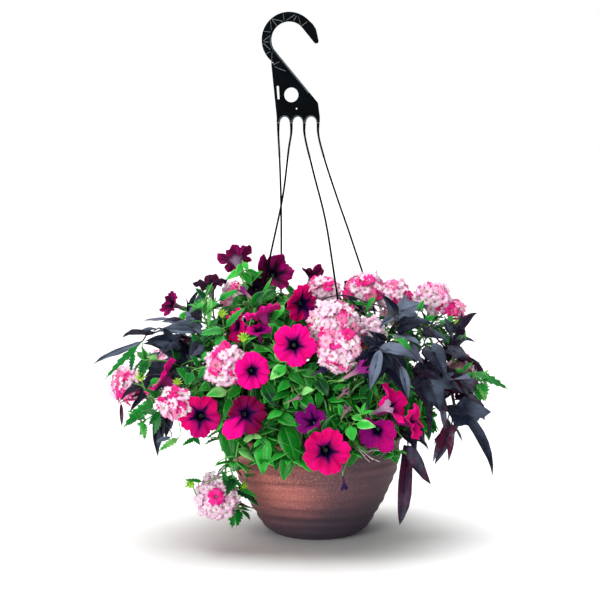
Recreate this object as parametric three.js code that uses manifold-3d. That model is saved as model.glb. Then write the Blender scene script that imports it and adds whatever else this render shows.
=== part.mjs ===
// A hanging basket of petunias, verbena and dark sweet potato vine in a bowl-shaped resin pot.
// Millimetres, Z up. The pot's axis is the Z axis and the front faces -Y. The rows below are measured from a
// level 8 mm above the pot's foot, and LIFT brings the foot to Z = 0 at the end.
import * as THREE from "three";
import { mergeVertices } from "three/addons/utils/BufferGeometryUtils.js";
import Module from "manifold-3d";

const wasm = await Module();
wasm.setup();

// Sizes
const GAP = 0.35;
const LIFT = 8;
const FOOT = -LIFT;
const POT_SEGMENTS = 24;
const SOIL_SEGMENTS = 16;
const RIM_TOP = 141;
const RIM_RADIUS = 127;
const LIP_HEIGHT = 7;
const LIP_FOOT_RADIUS = 122.5;
const SOIL_TOP = 124;
const SOIL_FLOOR = 4;
const HOLE_DEPTH = 26;
const HOLE_RADIUS = 8;
const CROWN_RADIUS = 6.4;
const HOOK_CENTRE = new THREE.Vector3(-39, 0, 708);
const HOOK_THICKNESS = 4.5;
const HOOK_TURN = -0.16;
const STRAND_RADIUS = 1.4;
const BLADE_THICKNESS = 0.9;
const PETAL_THICKNESS = 1;

// Outside of the pot as radius and height, from the foot up to the lip. Its walls ripple a little.
const POT_OUTSIDE = [
  [50, FOOT],
  [61, FOOT + 3],
  [71, 1],
  [80, 9],
  [88.5, 25],
  [97.5, 39],
  [105.5, 57],
  [113, 73],
  [119.5, 92],
  [122, 116],
  [LIP_FOOT_RADIUS, RIM_TOP - LIP_HEIGHT],
  [RIM_RADIUS, RIM_TOP - LIP_HEIGHT + 1],
  [RIM_RADIUS, RIM_TOP - 1.5],
  [RIM_RADIUS - 2, RIM_TOP],
];

// Inside of the pot, from the lip down to the middle of the floor.
const POT_INSIDE = [
  [RIM_RADIUS - 7, RIM_TOP],
  [116, 110],
  [99, 62],
  [70, 10],
  [44, FOOT + 6],
];

// Inside radius of the pot at a height, from the rows above.
function insideRadius(height) {
  for (let i = 1; i < POT_INSIDE.length; i += 1) {
    const [upperRadius, upper] = POT_INSIDE[i - 1];
    const [lowerRadius, lower] = POT_INSIDE[i];
    if (height <= upper && height >= lower) {
      return lowerRadius + ((upperRadius - lowerRadius) * (height - lower)) / (upper - lower);
    }
  }
  return POT_INSIDE[0][0];
}

// Colours, roughness and metalness
const LOOKS = {
  pot: [0x9a5a48, 0.75],
  soil: [0x3a2a20, 0.95],
  plastic: [0x16181a, 0.45],
  green: [0x2f8a3c, 0.55],
  verbenaGreen: [0x1f7d3e, 0.6],
  vine: [0x2a2c3a, 0.45],
  magenta: [0xe60a78, 0.55],
  burgundy: [0x5c0a3a, 0.5],
  verbena: [0xf7b4ce, 0.6],
};

// Plants. Each row is a crown in the soil: name, look and place of the crown.
const PLANTS = [
  ["petunia_plant_front_left", "green", [-62, -62]],
  ["petunia_plant_front_centre", "green", [-4, -78]],
  ["petunia_plant_front_right", "green", [58, -62]],
  ["petunia_plant_top", "green", [-42, 2]],
  ["petunia_plant_back_left", "green", [-58, 62]],
  ["petunia_plant_back_right", "green", [48, 68]],
  ["verbena_plant_left", "verbenaGreen", [-88, -22]],
  ["verbena_plant_centre", "verbenaGreen", [26, -28]],
  ["verbena_plant_right", "verbenaGreen", [64, -4]],
  ["verbena_plant_back", "verbenaGreen", [-4, 84]],
  ["vine_left", "vine", [-86, 22]],
  ["vine_right_upper", "vine", [86, 28]],
  ["vine_right_front", "vine", [88, -40]],
  ["vine_right_side", "vine", [98, -6]],
  ["vine_back", "vine", [8, 50]],
];

// Petunias: node, look, plant, centre of the open flower, way it faces, radius and roll in degrees.
const PETUNIAS = [
  ["petunia_magenta_01", "magenta", "front_centre", [-31, -178, 290], [0.05, -1, 0.12], 30, 10],
  ["petunia_magenta_02", "magenta", "front_left", [-87, -180, 255], [0.35, -0.95, 0.05], 26, 40],
  ["petunia_magenta_03", "magenta", "front_left", [-160, -165, 191], [-0.15, -1, 0.12], 30, 0],
  ["petunia_magenta_04", "magenta", "front_left", [-95, -188, 198], [0.45, -0.9, 0.22], 29, 25],
  ["petunia_magenta_05", "magenta", "front_centre", [12, -207, 150], [0.08, -1, 0], 33, 15],
  ["petunia_magenta_05", "magenta", "front_centre", [-5, -195, 189], [-0.3, -0.85, 0.45], 22, 50],
  ["petunia_magenta_06", "magenta", "front_right", [80, -186, 174], [-0.3, -0.9, -0.25], 28, 30],
  ["petunia_magenta_07", "magenta", "front_right", [103, -165, 208], [0.6, -0.55, 0.55], 27, 5],
  ["petunia_magenta_07", "magenta", "front_right", [130, -152, 180], [0.93, -0.35, 0.1], 26, 20],
  ["petunia_magenta_08", "magenta", "front_left", [-212, -128, 238], [-0.6, -0.3, 0.72], 34, 12],
  ["petunia_magenta_09", "magenta", "top", [-70, -112, 330], [0.05, -0.45, 0.88], 28, 33],
  ["petunia_magenta_09", "magenta", "front_centre", [-75, -134, 307], [0, -0.55, 0.8], 23, 3],
  ["petunia_magenta_10", "magenta", "top", [-19, -92, 337], [0.5, -0.8, -0.1], 29, 44],
  ["petunia_magenta_11", "magenta", "top", [-112, -90, 306], [-0.6, -0.75, 0.25], 27, 22],
  ["petunia_dark_01", "burgundy", "top", [-117, -10, 396], [-0.45, -0.65, 0.6], 28, 0],
  ["petunia_dark_07", "burgundy", "top", [-154, 10, 356], [-0.1, -0.3, 0.95], 27, 30],
  ["petunia_dark_02", "burgundy", "top", [-56, -20, 376], [0.2, -0.85, 0.5], 29, 12],
  ["petunia_dark_02", "burgundy", "top", [-88, -22, 354], [-0.3, -0.8, 0.5], 22, 50],
  ["petunia_dark_03", "burgundy", "top", [-216, 18, 328], [-0.8, -0.55, 0.15], 21, 10],
  ["petunia_dark_04", "burgundy", "top", [-1, 28, 362], [-0.3, -0.55, 0.78], 23, 41],
  ["petunia_magenta_12", "magenta", "back_right", [64, 176, 262], [0.2, 0.95, 0.25], 30, 18],
  ["petunia_magenta_13", "magenta", "back_left", [-78, 182, 212], [-0.3, 0.92, 0.2], 31, 5],
  ["petunia_magenta_14", "magenta", "back_right", [152, 134, 188], [0.7, 0.7, 0.1], 30, 33],
  ["petunia_magenta_15", "magenta", "back_left", [-172, 116, 186], [-0.8, 0.6, 0.08], 29, 12],
  ["petunia_magenta_16", "magenta", "back_right", [14, 206, 160], [0.05, 1, 0], 30, 27],
  ["petunia_magenta_17", "magenta", "back_left", [-28, 122, 324], [-0.05, 0.7, 0.7], 28, 36],
  ["petunia_dark_05", "burgundy", "back_right", [66, 92, 346], [0.3, 0.5, 0.8], 26, 8],
  ["petunia_dark_06", "burgundy", "back_left", [-96, 104, 318], [-0.4, 0.6, 0.7], 26, 21],
];

// Verbena heads: node, plant, middle of the head, way it faces, radius and how far round its florets go.
const HEADS = [
  ["verbena_head_01", "left", [-130, -158, 260], [-0.15, -1, 0.15], 31, "half"],
  ["verbena_head_02", "centre", [28, -160, 282], [0.1, -1, 0.05], 31, "half"],
  ["verbena_head_02", "centre", [25, -130, 313], [0, -0.8, 0.6], 34, "half"],
  ["verbena_head_03", "centre", [8, -12, 350], [0, -0.5, 0.85], 27, "half"],
  ["verbena_head_04", "right", [70, -4, 352], [-0.1, -0.5, 0.85], 30, "half"],
  ["verbena_head_04", "right", [116, 2, 342], [0.2, -0.5, 0.85], 26, "half"],
  ["verbena_head_05", "right", [172, 18, 336], [0.2, -0.6, 0.75], 30, "half"],
  ["verbena_head_05", "right", [196, 19, 323], [0.85, -0.2, 0.45], 17, "small"],
  ["verbena_head_06", "left", [-267, -64, 220], [-0.65, -0.75, 0.05], 25, "half"],
  ["verbena_head_07", "left", [-195, -152, 206], [-0.4, -0.9, 0.05], 23, "small"],
  ["verbena_head_08", "left", [-146, -116, 64], [-0.35, -0.95, 0], 32, "round"],
  ["verbena_head_09", "left", [-118, 26, 336], [-0.5, -0.2, 0.8], 22, "small"],
  ["verbena_head_10", "right", [78, -84, 300], [0.2, -0.85, 0.5], 23, "small"],
  ["verbena_head_11", "back", [122, 112, 304], [0.5, 0.6, 0.6], 28, "small"],
  ["verbena_head_12", "back", [-128, 120, 262], [-0.5, 0.75, 0.4], 28, "small"],
  ["verbena_head_13", "left", [-222, 62, 232], [-0.9, 0.3, 0.2], 26, "small"],
  ["verbena_head_14", "right", [218, 92, 218], [0.9, 0.4, 0.2], 27, "small"],
];

// Leafy shoots without a flower: plant and waypoints from above the crown to the tip.
const SHOOTS = [
  ["petunia_plant_front_left", [-92, -128, 182], [-106, -160, 158], [-112, -168, 128]],
  ["petunia_plant_front_left", [-74, -118, 188], [-70, -158, 168], [-72, -168, 132]],
  ["petunia_plant_front_left", [-60, -110, 210], [-58, -150, 228]],
  ["petunia_plant_front_centre", [-24, -120, 190], [-34, -158, 172], [-36, -170, 132]],
  ["petunia_plant_front_centre", [2, -128, 205], [4, -156, 232]],
  ["petunia_plant_front_centre", [-44, -116, 220], [-52, -150, 262]],
  ["petunia_plant_front_right", [46, -122, 186], [44, -156, 172], [46, -168, 142]],
  ["petunia_plant_front_right", [48, -110, 205], [46, -152, 214]],
  ["petunia_plant_front_right", [92, -108, 182], [104, -148, 160], [108, -158, 140]],
  ["petunia_plant_back_left", [-40, 118, 190], [-44, 160, 172], [-46, 168, 140]],
  ["petunia_plant_back_left", [-110, 96, 190], [-132, 118, 160], [-136, 122, 135]],
  ["petunia_plant_back_right", [70, 116, 188], [82, 150, 168], [88, 156, 136]],
  ["petunia_plant_back_right", [100, 92, 200], [126, 110, 226]],
  ["verbena_plant_left", [-150, -90, 205], [-208, -132, 196], [-240, -146, 180]],
  ["verbena_plant_left", [-122, -104, 176], [-122, -138, 130], [-112, -130, 84], [-108, -122, 52]],
  ["verbena_plant_left", [-140, -70, 260], [-160, -90, 330]],
  ["verbena_plant_right", [140, -10, 220], [200, -6, 224], [240, -8, 216]],
  ["verbena_plant_right", [120, 10, 260], [168, 0, 292], [205, 6, 296]],
  ["verbena_plant_back", [-90, 128, 190], [-168, 142, 214], [-190, 140, 216]],
  ["verbena_plant_back", [40, 128, 200], [118, 160, 232], [130, 168, 236]],
];

// Stems of the vines: plant and waypoints from above the crown.
const VINES = [
  ["vine_left", [-118, 6, 225], [-160, -18, 282], [-205, -18, 296], [-236, -20, 288]],
  ["vine_left", [-132, -28, 205], [-180, -66, 246], [-212, -76, 216], [-222, -66, 180]],
  ["vine_left", [-134, 60, 208], [-176, 94, 250], [-204, 108, 214]],
  ["vine_right_upper", [100, -6, 240], [112, -52, 304], [150, -56, 302], [186, -30, 268]],
  ["vine_right_upper", [132, 56, 230], [172, 74, 262], [206, 70, 236]],
  ["vine_right_front", [98, -84, 218], [98, -122, 262], [88, -140, 280]],
  ["vine_right_front", [112, -96, 172], [126, -134, 160], [125, -145, 150]],
  ["vine_right_side", [148, -36, 214], [186, -52, 222], [196, -52, 190]],
  ["vine_back", [22, 96, 230], [52, 132, 300], [34, 150, 322]],
  ["vine_back", [-20, 118, 198], [-48, 172, 250], [-76, 190, 262]],
];

// Ways that the stem of a head takes where a straight one won't do
const ROUTES = {
  verbena_head_08: [
    [-96, -78, 178],
    [-121, -97, 158],
    [-128, -98, 104],
  ],
};

// Large vine leaves: plant, kind, where the blade starts, its tip, its width and the way its face looks.
const VINE_LEAVES = [
  ["vine_left", "lance", [-252, -22, 276], [-320, -40, 245], 15, [-0.2, -0.5, 0.9]],
  ["vine_left", "lance", [-232, -24, 292], [-276, -56, 286], 18, [0, -0.5, 0.9]],
  ["vine_left", "heart", [-165, -52, 296], [-228, -68, 300], 30, [0, -0.6, 0.8]],
  ["vine_left", "heart", [-182, -82, 264], [-242, -96, 284], 44, [0, -0.75, 0.6]],
  ["vine_left", "star", [-190, -92, 252], [-255, -98, 200], 66, [-0.3, -0.8, 0.5]],
  ["vine_left", "lance", [-168, -14, 298], [-170, -6, 348], 20, [-0.5, -0.8, 0.1]],
  ["vine_left", "lance", [-210, 2, 304], [-252, 4, 306], 9, [0, -0.4, 0.9]],
  ["vine_left", "lance", [-222, -62, 176], [-225, -76, 126], 15, [0.1, -1, 0]],
  ["vine_left", "lance", [-212, -72, 186], [-212, -80, 146], 13, [0.3, -1, 0]],
  ["vine_left", "lance", [-238, -50, 190], [-268, -42, 158], 12, [-0.3, -0.9, 0.2]],
  ["vine_left", "star", [-186, 104, 254], [-244, 130, 212], 70, [-0.6, 0.5, 0.7]],
  ["vine_left", "star", [-208, 114, 204], [-230, 128, 136], 66, [-0.7, 0.6, 0.2]],
  ["vine_right_upper", "star", [112, -58, 320], [172, -46, 332], 74, [0, -0.7, 0.7]],
  ["vine_right_upper", "heart", [128, -72, 304], [184, -84, 312], 34, [0.1, -0.7, 0.7]],
  ["vine_right_upper", "heart", [116, -72, 294], [146, -116, 278], 24, [0.2, -0.6, 0.8]],
  ["vine_right_upper", "star", [186, -28, 272], [216, -34, 252], 48, [0.3, -0.8, 0.5]],
  ["vine_right_upper", "star", [196, 76, 246], [262, 88, 196], 74, [0.7, 0.3, 0.6]],
  ["vine_right_upper", "heart", [168, 72, 272], [214, 62, 308], 36, [0.2, -0.2, 0.9]],
  ["vine_right_front", "star", [86, -152, 286], [72, -182, 232], 72, [0.1, -0.95, 0.3]],
  ["vine_right_front", "heart", [98, -144, 268], [126, -166, 214], 40, [0.3, -0.9, 0.3]],
  ["vine_right_front", "tri", [125, -152, 148], [115, -176, 42], 66, [0.1, -1, 0.1]],
  ["vine_right_front", "lance", [128, -138, 182], [150, -140, 150], 16, [0.2, -1, 0.1]],
  ["vine_right_side", "heart", [160, -84, 276], [182, -104, 232], 38, [0.2, -0.9, 0.35]],
  ["vine_right_side", "star", [154, -98, 238], [172, -128, 192], 60, [0.2, -0.9, 0.4]],
  ["vine_right_side", "tail", [196, -84, 194], [246, -112, 98], 66, [0.2, -0.95, 0.3]],
  ["vine_right_side", "star", [204, -34, 226], [224, -42, 188], 50, [0.5, -0.8, 0.3]],
  ["vine_right_side", "star", [192, -62, 160], [168, -80, 108], 52, [0.1, -1, 0.2]],
  ["vine_back", "star", [34, 150, 324], [-26, 168, 296], 70, [0, 0.8, 0.6]],
  ["vine_back", "star", [52, 140, 300], [98, 176, 300], 64, [0.3, 0.8, 0.5]],
  ["vine_back", "heart", [-80, 194, 258], [-98, 206, 198], 40, [-0.2, 0.95, 0.2]],
  ["vine_back", "star", [-48, 176, 252], [-16, 206, 210], 62, [0, 0.95, 0.3]],
];

// Strands of the hanger: name, place of the foot on the hook's plate, waypoints, and the clip's turn about
// the pot in degrees.
const STRANDS = [
  ["strand_back_left", -15.6, [[-53, 10, 546], [-51, 34, 478], [-51, 64, 388], [-53, 102, 250]], 115],
  ["strand_front_left", 3.3, [[-39, -8, 555], [-47.5, -20, 487], [-66, -36, 399], [-98, -52, 250]], 205],
  ["strand_front_right", 22.3, [[-1, -30, 523], [12, -52, 456], [23, -76, 389], [44, -110, 240]], 295],
  ["strand_back_right", 42.3, [[15, 12, 542], [31, 22, 481], [51, 32, 424], [90, 46, 300]], 25],
];

// Half outlines of the leaves, from the base to the tip: along the midrib and out from it, both in parts
// of the length and of half the width.
const OUTLINES = {
  ovate: [
    [0, 0.09],
    [0.3, 0.95],
    [0.68, 0.78],
  ],
  toothed: [
    [0, 0.1],
    [0.3, 0.95],
    [0.37, 0.55],
    [0.62, 0.85],
    [0.68, 0.4],
  ],
  lance: [
    [0, 0.16],
    [0.22, 0.8],
    [0.52, 1],
    [0.8, 0.52],
  ],
  heart: [
    [0, 0.08],
    [-0.06, 0.5],
    [0.16, 1],
    [0.44, 0.7],
    [0.76, 0.26],
  ],
  star: [
    [0, 0.06],
    [-0.12, 0.62],
    [0.14, 0.4],
    [0.48, 1],
    [0.42, 0.26],
  ],
  tri: [
    [0, 0.08],
    [0.02, 0.3],
    [0.46, 1],
    [0.3, 0.22],
    [0.62, 0.26],
    [0.84, 0.16],
  ],
  tail: [
    [0, 0.08],
    [-0.02, 0.55],
    [0.28, 1],
    [0.3, 0.24],
    [0.6, 0.2],
    [0.85, 0.1],
  ],
};

// A stream of numbers between 0 and 1 that is the same each time for a seed.
function randomFrom(seed) {
  let state = seed >>> 0;
  return () => {
    state = (state + 0x6d2b79f5) >>> 0;
    let mixed = Math.imul(state ^ (state >>> 15), state | 1);
    mixed = (mixed + Math.imul(mixed ^ (mixed >>> 7), mixed | 61)) ^ mixed;
    return ((mixed ^ (mixed >>> 14)) >>> 0) / 4294967296;
  };
}

const vector = (row) => new THREE.Vector3(row[0], row[1], row[2]);
const radians = (degrees) => (degrees * Math.PI) / 180;

// A solid from points and triangles, turned so that its faces look outwards.
function solidFrom(points, triangles) {
  const numbers = new Float32Array(points.length * 3);
  points.forEach((point, i) => numbers.set([point.x, point.y, point.z], i * 3));
  const build = (rows) =>
    new wasm.Manifold(
      new wasm.Mesh({
        numProp: 3,
        vertProperties: numbers,
        triVerts: new Uint32Array(rows.flat()),
      }),
    );
  const made = build(triangles);
  if (made.volume() >= 0) {
    return made;
  }
  return build(triangles.map(([a, b, c]) => [a, c, b]));
}

// A solid from a closed three.js geometry.
function solidFromGeometry(geometry) {
  const bare = new THREE.BufferGeometry();
  const source = geometry.index ? geometry.toNonIndexed() : geometry;
  bare.setAttribute("position", source.getAttribute("position"));
  const merged = mergeVertices(bare, 1e-3);
  return new wasm.Manifold(
    new wasm.Mesh({
      numProp: 3,
      vertProperties: merged.attributes.position.array,
      triVerts: new Uint32Array(merged.index.array),
    }),
  );
}

// The faces of a solid as a mesh for the group.
function meshFrom(name, solid, look) {
  const { vertProperties, triVerts, numProp } = solid.getMesh();
  const count = vertProperties.length / numProp;
  const places = new Float32Array(count * 3);
  for (let i = 0; i < count; i += 1) {
    places.set(vertProperties.subarray(i * numProp, i * numProp + 3), i * 3);
  }
  const geometry = new THREE.BufferGeometry();
  geometry.setAttribute("position", new THREE.BufferAttribute(places, 3));
  geometry.setIndex(new THREE.BufferAttribute(triVerts, 1));
  const faceted = geometry.toNonIndexed();
  faceted.computeVertexNormals();
  const [color, roughness] = LOOKS[look];
  const material = new THREE.MeshStandardMaterial({ color, roughness, metalness: 0 });
  const mesh = new THREE.Mesh(faceted, material);
  mesh.name = name;
  return mesh;
}

// Rings of corners along a path, each turned as little as possible from the one before
const STEM_SIDES = 3;
function ringsAlong(points, radii, firstSide, sides = STEM_SIDES, endWay = null) {
  let side = firstSide.clone();
  return points.map((point, i) => {
    const before = points[Math.max(i - 1, 0)];
    const after = points[Math.min(i + 1, points.length - 1)];
    const isEnd = endWay && i === points.length - 1;
    const along = isEnd ? endWay.clone() : after.clone().sub(before).normalize();
    side = side.clone().addScaledVector(along, -side.dot(along)).normalize();
    const other = along.clone().cross(side);
    return Array.from({ length: sides }, (_, k) => {
      const angle = (2 * Math.PI * k) / sides;
      return point
        .clone()
        .addScaledVector(side, radii[i] * Math.cos(angle))
        .addScaledVector(other, radii[i] * Math.sin(angle));
    });
  });
}

// A closed solid from rings of corners
function solidFromRings(rings) {
  const sides = rings[0].length;
  const triangles = [];
  for (let i = 0; i + 1 < rings.length; i += 1) {
    for (let k = 0; k < sides; k += 1) {
      const next = (k + 1) % sides;
      const [a, b] = [i * sides + k, i * sides + next];
      triangles.push([a, b, b + sides], [a, b + sides, a + sides]);
    }
  }
  const last = (rings.length - 1) * sides;
  for (let k = 1; k + 1 < sides; k += 1) {
    triangles.push([0, k + 1, k], [last, last + k, last + k + 1]);
  }
  return solidFrom(rings.flat(), triangles);
}

// Volume that triangles enclose, below zero when they face inwards
function signedVolume(points, triangles) {
  return triangles.reduce(
    (sum, [a, b, c]) => sum + points[a].dot(points[b].clone().cross(points[c])) / 6,
    0,
  );
}

// Corners and triangles of a leaf blade: one outline on both faces, each split into the same fan.
// The four corners at its base come first in the order that a face takes them: front, back, back, front.
function bladeShape({ kind, base, tip, width, face, arch, fold, seat }) {
  const along = tip.clone().sub(base);
  const length = along.length();
  along.normalize();
  const up = face.clone().addScaledVector(along, -face.dot(along)).normalize();
  const side = along.clone().cross(up);
  const place = (u, v) =>
    base
      .clone()
      .addScaledVector(along, u * length)
      .addScaledVector(side, (v * width) / 2)
      .addScaledVector(up, arch * length * 4 * u * (1 - u) + fold * Math.abs(v) * width);
  const half = OUTLINES[kind].slice(1);
  const outline = [
    base.clone(),
    ...half.map(([u, v]) => place(u, v)),
    place(1, 0),
    ...half.toReversed().map(([u, v]) => place(u, -v)),
    base.clone(),
  ];
  const middle = kind === "ovate" || kind === "toothed" || kind === "lance" ? 0.42 : 0.2;
  const rim = outline.length;
  const shift = up.clone().multiplyScalar(BLADE_THICKNESS / 2);
  const faceRow = [...outline, place(middle, 0)];
  const upper = faceRow.map((point) => point.clone().add(shift));
  const under = faceRow.map((point) => point.clone().sub(shift));
  const seatSide = side.clone().addScaledVector(seat, -side.dot(seat)).normalize();
  const seatUp = up.clone().addScaledVector(seat, -up.dot(seat));
  seatUp.addScaledVector(seatSide, -seatUp.dot(seatSide)).normalize();
  const corner = (across, rise) =>
    base
      .clone()
      .addScaledVector(seatSide, across * SEAT_HALF)
      .addScaledVector(seatUp, (rise * BLADE_THICKNESS) / 2);
  upper[0] = corner(1, 1);
  under[0] = corner(1, -1);
  upper[rim - 1] = corner(-1, 1);
  under[rim - 1] = corner(-1, -1);
  const points = [...upper, ...under];
  const below = upper.length;
  const heart = rim;
  let triangles = [];
  for (let k = 0; k < rim; k += 1) {
    const next = (k + 1) % rim;
    triangles.push([k, k + below, next + below], [k, next + below, next]);
    triangles.push([heart, k, next], [heart + below, next + below, k + below]);
  }
  if (signedVolume(points, triangles) < 0) {
    triangles = triangles.map(([a, b, c]) => [a, c, b]);
  }
  const seatIds = [0, below, rim - 1 + below, rim - 1];
  const isSeat = (triangle) => triangle.every((id) => seatIds.includes(id));
  return { points, triangles, open: triangles.filter((row) => !isSeat(row)), seatIds };
}
const SEAT_HALF = 0.5;

// One closed body that grows: every flat face of it can carry the foot of a stem or of a leaf
class Growth {
  constructor() {
    this.points = [];
    this.triangles = [];
    this.faces = [];
  }

  addPoints(rows) {
    const first = this.points.length;
    this.points.push(...rows);
    return rows.map((_, i) => first + i);
  }

  addRings(rings, startIds) {
    let previous = startIds;
    const faces = [];
    rings.forEach((ring, i) => {
      const ids = i === 0 && startIds ? startIds : this.addPoints(ring);
      if (previous && i > 0) {
        ids.forEach((_, k) => {
          const next = (k + 1) % ids.length;
          const face = { ids: [previous[k], previous[next], ids[next], ids[k]], segment: i - 1 };
          faces.push(face);
        });
      }
      previous = ids;
    });
    const end = { ids: [...previous], segment: rings.length, end: true };
    faces.push(end);
    this.faces.push(...faces);
    return faces;
  }

  // Fills the face around the loop of corners that stands on it
  close() {
    const triangles = [...this.triangles];
    for (const { ids, loop, plane } of this.faces) {
      if (!loop) {
        for (let k = 1; k + 1 < ids.length; k += 1) {
          triangles.push([ids[0], ids[k], ids[k + 1]]);
        }
        continue;
      }
      const angleOf = (id) => {
        const arm = this.points[id].clone().sub(plane.centre);
        return Math.atan2(arm.dot(plane.second), arm.dot(plane.first));
      };
      const sorted = (list) =>
        list.map((id) => ({ id, angle: angleOf(id) })).sort((a, b) => a.angle - b.angle);
      const outer = sorted(ids);
      const inner = sorted(loop);
      const after = (list, i) =>
        i < list.length
          ? list[i]
          : { id: list[i - list.length].id, angle: list[i - list.length].angle + 2 * Math.PI };
      let [i, j] = [0, 0];
      while (i < outer.length || j < inner.length) {
        const nextOuter = i < outer.length ? after(outer, i + 1).angle : Infinity;
        const nextInner = j < inner.length ? after(inner, j + 1).angle : Infinity;
        const [from, at] = [after(outer, i).id, after(inner, j).id];
        if (nextOuter <= nextInner) {
          triangles.push([from, after(outer, i + 1).id, at]);
          i += 1;
        } else {
          triangles.push([from, after(inner, j + 1).id, at]);
          j += 1;
        }
      }
    }
    return solidFrom(this.points, triangles);
  }

  // Centre, outward normal and two directions of a face, at a share of the way along it
  planeOf(face, share = 0.5) {
    const corners = face.ids.map((id) => this.points[id]);
    const centre = new THREE.Vector3();
    if (corners.length === 4) {
      const low = corners[0].clone().lerp(corners[1], 0.5);
      centre.copy(low.lerp(corners[3].clone().lerp(corners[2], 0.5), share));
    } else {
      corners.forEach((corner) => centre.addScaledVector(corner, 1 / corners.length));
    }
    const first = corners[1].clone().sub(corners[0]).normalize();
    const last = corners[corners.length - 1].clone().sub(corners[0]);
    const normal = first.clone().cross(last).normalize();
    return { centre, normal, first, second: normal.clone().cross(first) };
  }
}

// Two directions across an axis, the first turned by a roll.
function across(axis, roll) {
  const hint = Math.abs(axis.z) > 0.9 ? new THREE.Vector3(0, 1, 0) : new THREE.Vector3(0, 0, 1);
  const first = hint.addScaledVector(axis, -hint.dot(axis)).normalize();
  const second = axis.clone().cross(first);
  return [
    first.clone().multiplyScalar(Math.cos(roll)).addScaledVector(second, Math.sin(roll)),
    second.clone().multiplyScalar(Math.cos(roll)).addScaledVector(first, -Math.sin(roll)),
  ];
}

// An open petunia: a ruffled limb of five lobes on a funnel that narrows to its tube.
const LIMB_POINTS = 20;
const tubeLength = (radius) => radius * 1.05 + 4;
function petuniaSolid(centre, facing, radius, roll) {
  const axis = facing.clone().normalize();
  const [first, second] = across(axis, radians(roll));
  const place = (angle, reach, height) =>
    centre
      .clone()
      .addScaledVector(first, reach * Math.cos(angle))
      .addScaledVector(second, reach * Math.sin(angle))
      .addScaledVector(axis, height);
  const rim = (drop) =>
    Array.from({ length: LIMB_POINTS }, (_, k) => {
      const angle = (2 * Math.PI * k) / LIMB_POINTS;
      const lobe = 0.86 + 0.14 * Math.abs(Math.sin(2.5 * angle)) ** 0.6;
      const ruffle = 0.07 * Math.sin(5 * angle + roll) + 0.05 * Math.sin(3 * angle + 2 * roll);
      return place(angle, radius * lobe, radius * ruffle - drop);
    });
  const ring = (reach, height) =>
    Array.from({ length: 5 }, (_, k) => place(((2 * k + 1) * Math.PI) / 5, reach, height));
  const points = [
    ...rim(0),
    ...rim(PETAL_THICKNESS),
    ...ring(radius * 0.3, -radius * 0.12),
    ...ring(radius * 0.22, -radius * 0.44),
    ...ring(radius * 0.1, -tubeLength(radius)),
    place(0, 0, -radius * 0.36),
  ];
  const [back, mouth, neck, end] = [20, 40, 45, 50];
  const throat = 55;
  const triangles = [];
  for (let k = 0; k < LIMB_POINTS; k += 1) {
    const next = (k + 1) % LIMB_POINTS;
    const lobe = Math.floor(k / 4);
    triangles.push([k, next, mouth + lobe], [back + next, back + k, neck + lobe]);
    triangles.push([k, back + k, back + next], [k, back + next, next]);
  }
  for (let lobe = 0; lobe < 5; lobe += 1) {
    const after = (lobe + 1) % 5;
    const notch = (4 * lobe + 4) % LIMB_POINTS;
    triangles.push([notch, mouth + after, mouth + lobe], [back + notch, neck + lobe, neck + after]);
    triangles.push([mouth + lobe, mouth + after, throat]);
    triangles.push([neck + lobe, end + lobe, end + after], [neck + lobe, end + after, neck + after]);
  }
  for (let k = 1; k < 4; k += 1) {
    triangles.push([end, end + k + 1, end + k]);
  }
  return solidFrom(points, triangles);
}

// A verbena head: florets of five notched petals, each on its own stalk out of one facet of the core.
const CORE_SHARE = 0.5;
const PETAL_REACH = 0.36;
const LOWEST_FLORET = { small: 0.2, half: 0.2, round: -0.5 };
function headSolid(centre, facing, radius, fullness, seed) {
  const draw = randomFrom(seed);
  const axis = facing.clone().normalize();
  const core = mergeVertices(bareIcosahedron(), 1e-6);
  const places = core.attributes.position;
  const corners = Array.from({ length: places.count }, (_, i) =>
    new THREE.Vector3().fromBufferAttribute(places, i),
  );
  const faces = [];
  for (let i = 0; i < core.index.count; i += 3) {
    faces.push([core.index.getX(i), core.index.getX(i + 1), core.index.getX(i + 2)]);
  }
  const middleOf = (face) =>
    face.reduce((sum, i) => sum.add(corners[i]), new THREE.Vector3()).normalize();
  const turn = new THREE.Quaternion().setFromUnitVectors(middleOf(faces[0]), axis);
  const spin = new THREE.Quaternion().setFromAxisAngle(axis, draw() * 6.28);
  corners.forEach((corner) => corner.applyQuaternion(turn).applyQuaternion(spin));
  const points = corners.map((corner) =>
    centre.clone().addScaledVector(corner, radius * CORE_SHARE),
  );
  const [aside, beside] = across(axis, 0);
  const isLeftOut = (out) => {
    const height = out.dot(axis);
    const turned = Math.cos(3 * Math.atan2(out.dot(aside), out.dot(beside)));
    return height < LOWEST_FLORET[fullness] || (fullness === "small" && height < 0.6 && turned < 0);
  };
  const triangles = [];
  for (const face of faces) {
    const out = middleOf(face);
    if (isLeftOut(out)) {
      triangles.push(face);
      continue;
    }
    const [first, second] = across(out, draw() * 6.28);
    const reach = radius * (0.93 + 0.12 * draw());
    const start = points.length;
    for (let k = 0; k < 10; k += 1) {
      const angle = (2 * Math.PI * k) / 10;
      const petal = radius * PETAL_REACH * (k % 2 ? 0.62 : 1);
      const lift = k % 2 ? -0.03 : 0.03 * draw();
      points.push(
        centre
          .clone()
          .addScaledVector(out, reach + radius * lift)
          .addScaledVector(first, petal * Math.cos(angle))
          .addScaledVector(second, petal * Math.sin(angle)),
      );
    }
    points.push(centre.clone().addScaledVector(out, reach - radius * 0.08));
    triangles.push(...floretTriangles(points, face, start));
  }
  return solidFrom(points, triangles);
}

// The icosahedron's places alone, so that its corners merge.
function bareIcosahedron() {
  const geometry = new THREE.IcosahedronGeometry(1, 0);
  const bare = new THREE.BufferGeometry();
  bare.setAttribute("position", geometry.getAttribute("position"));
  return bare;
}

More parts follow.
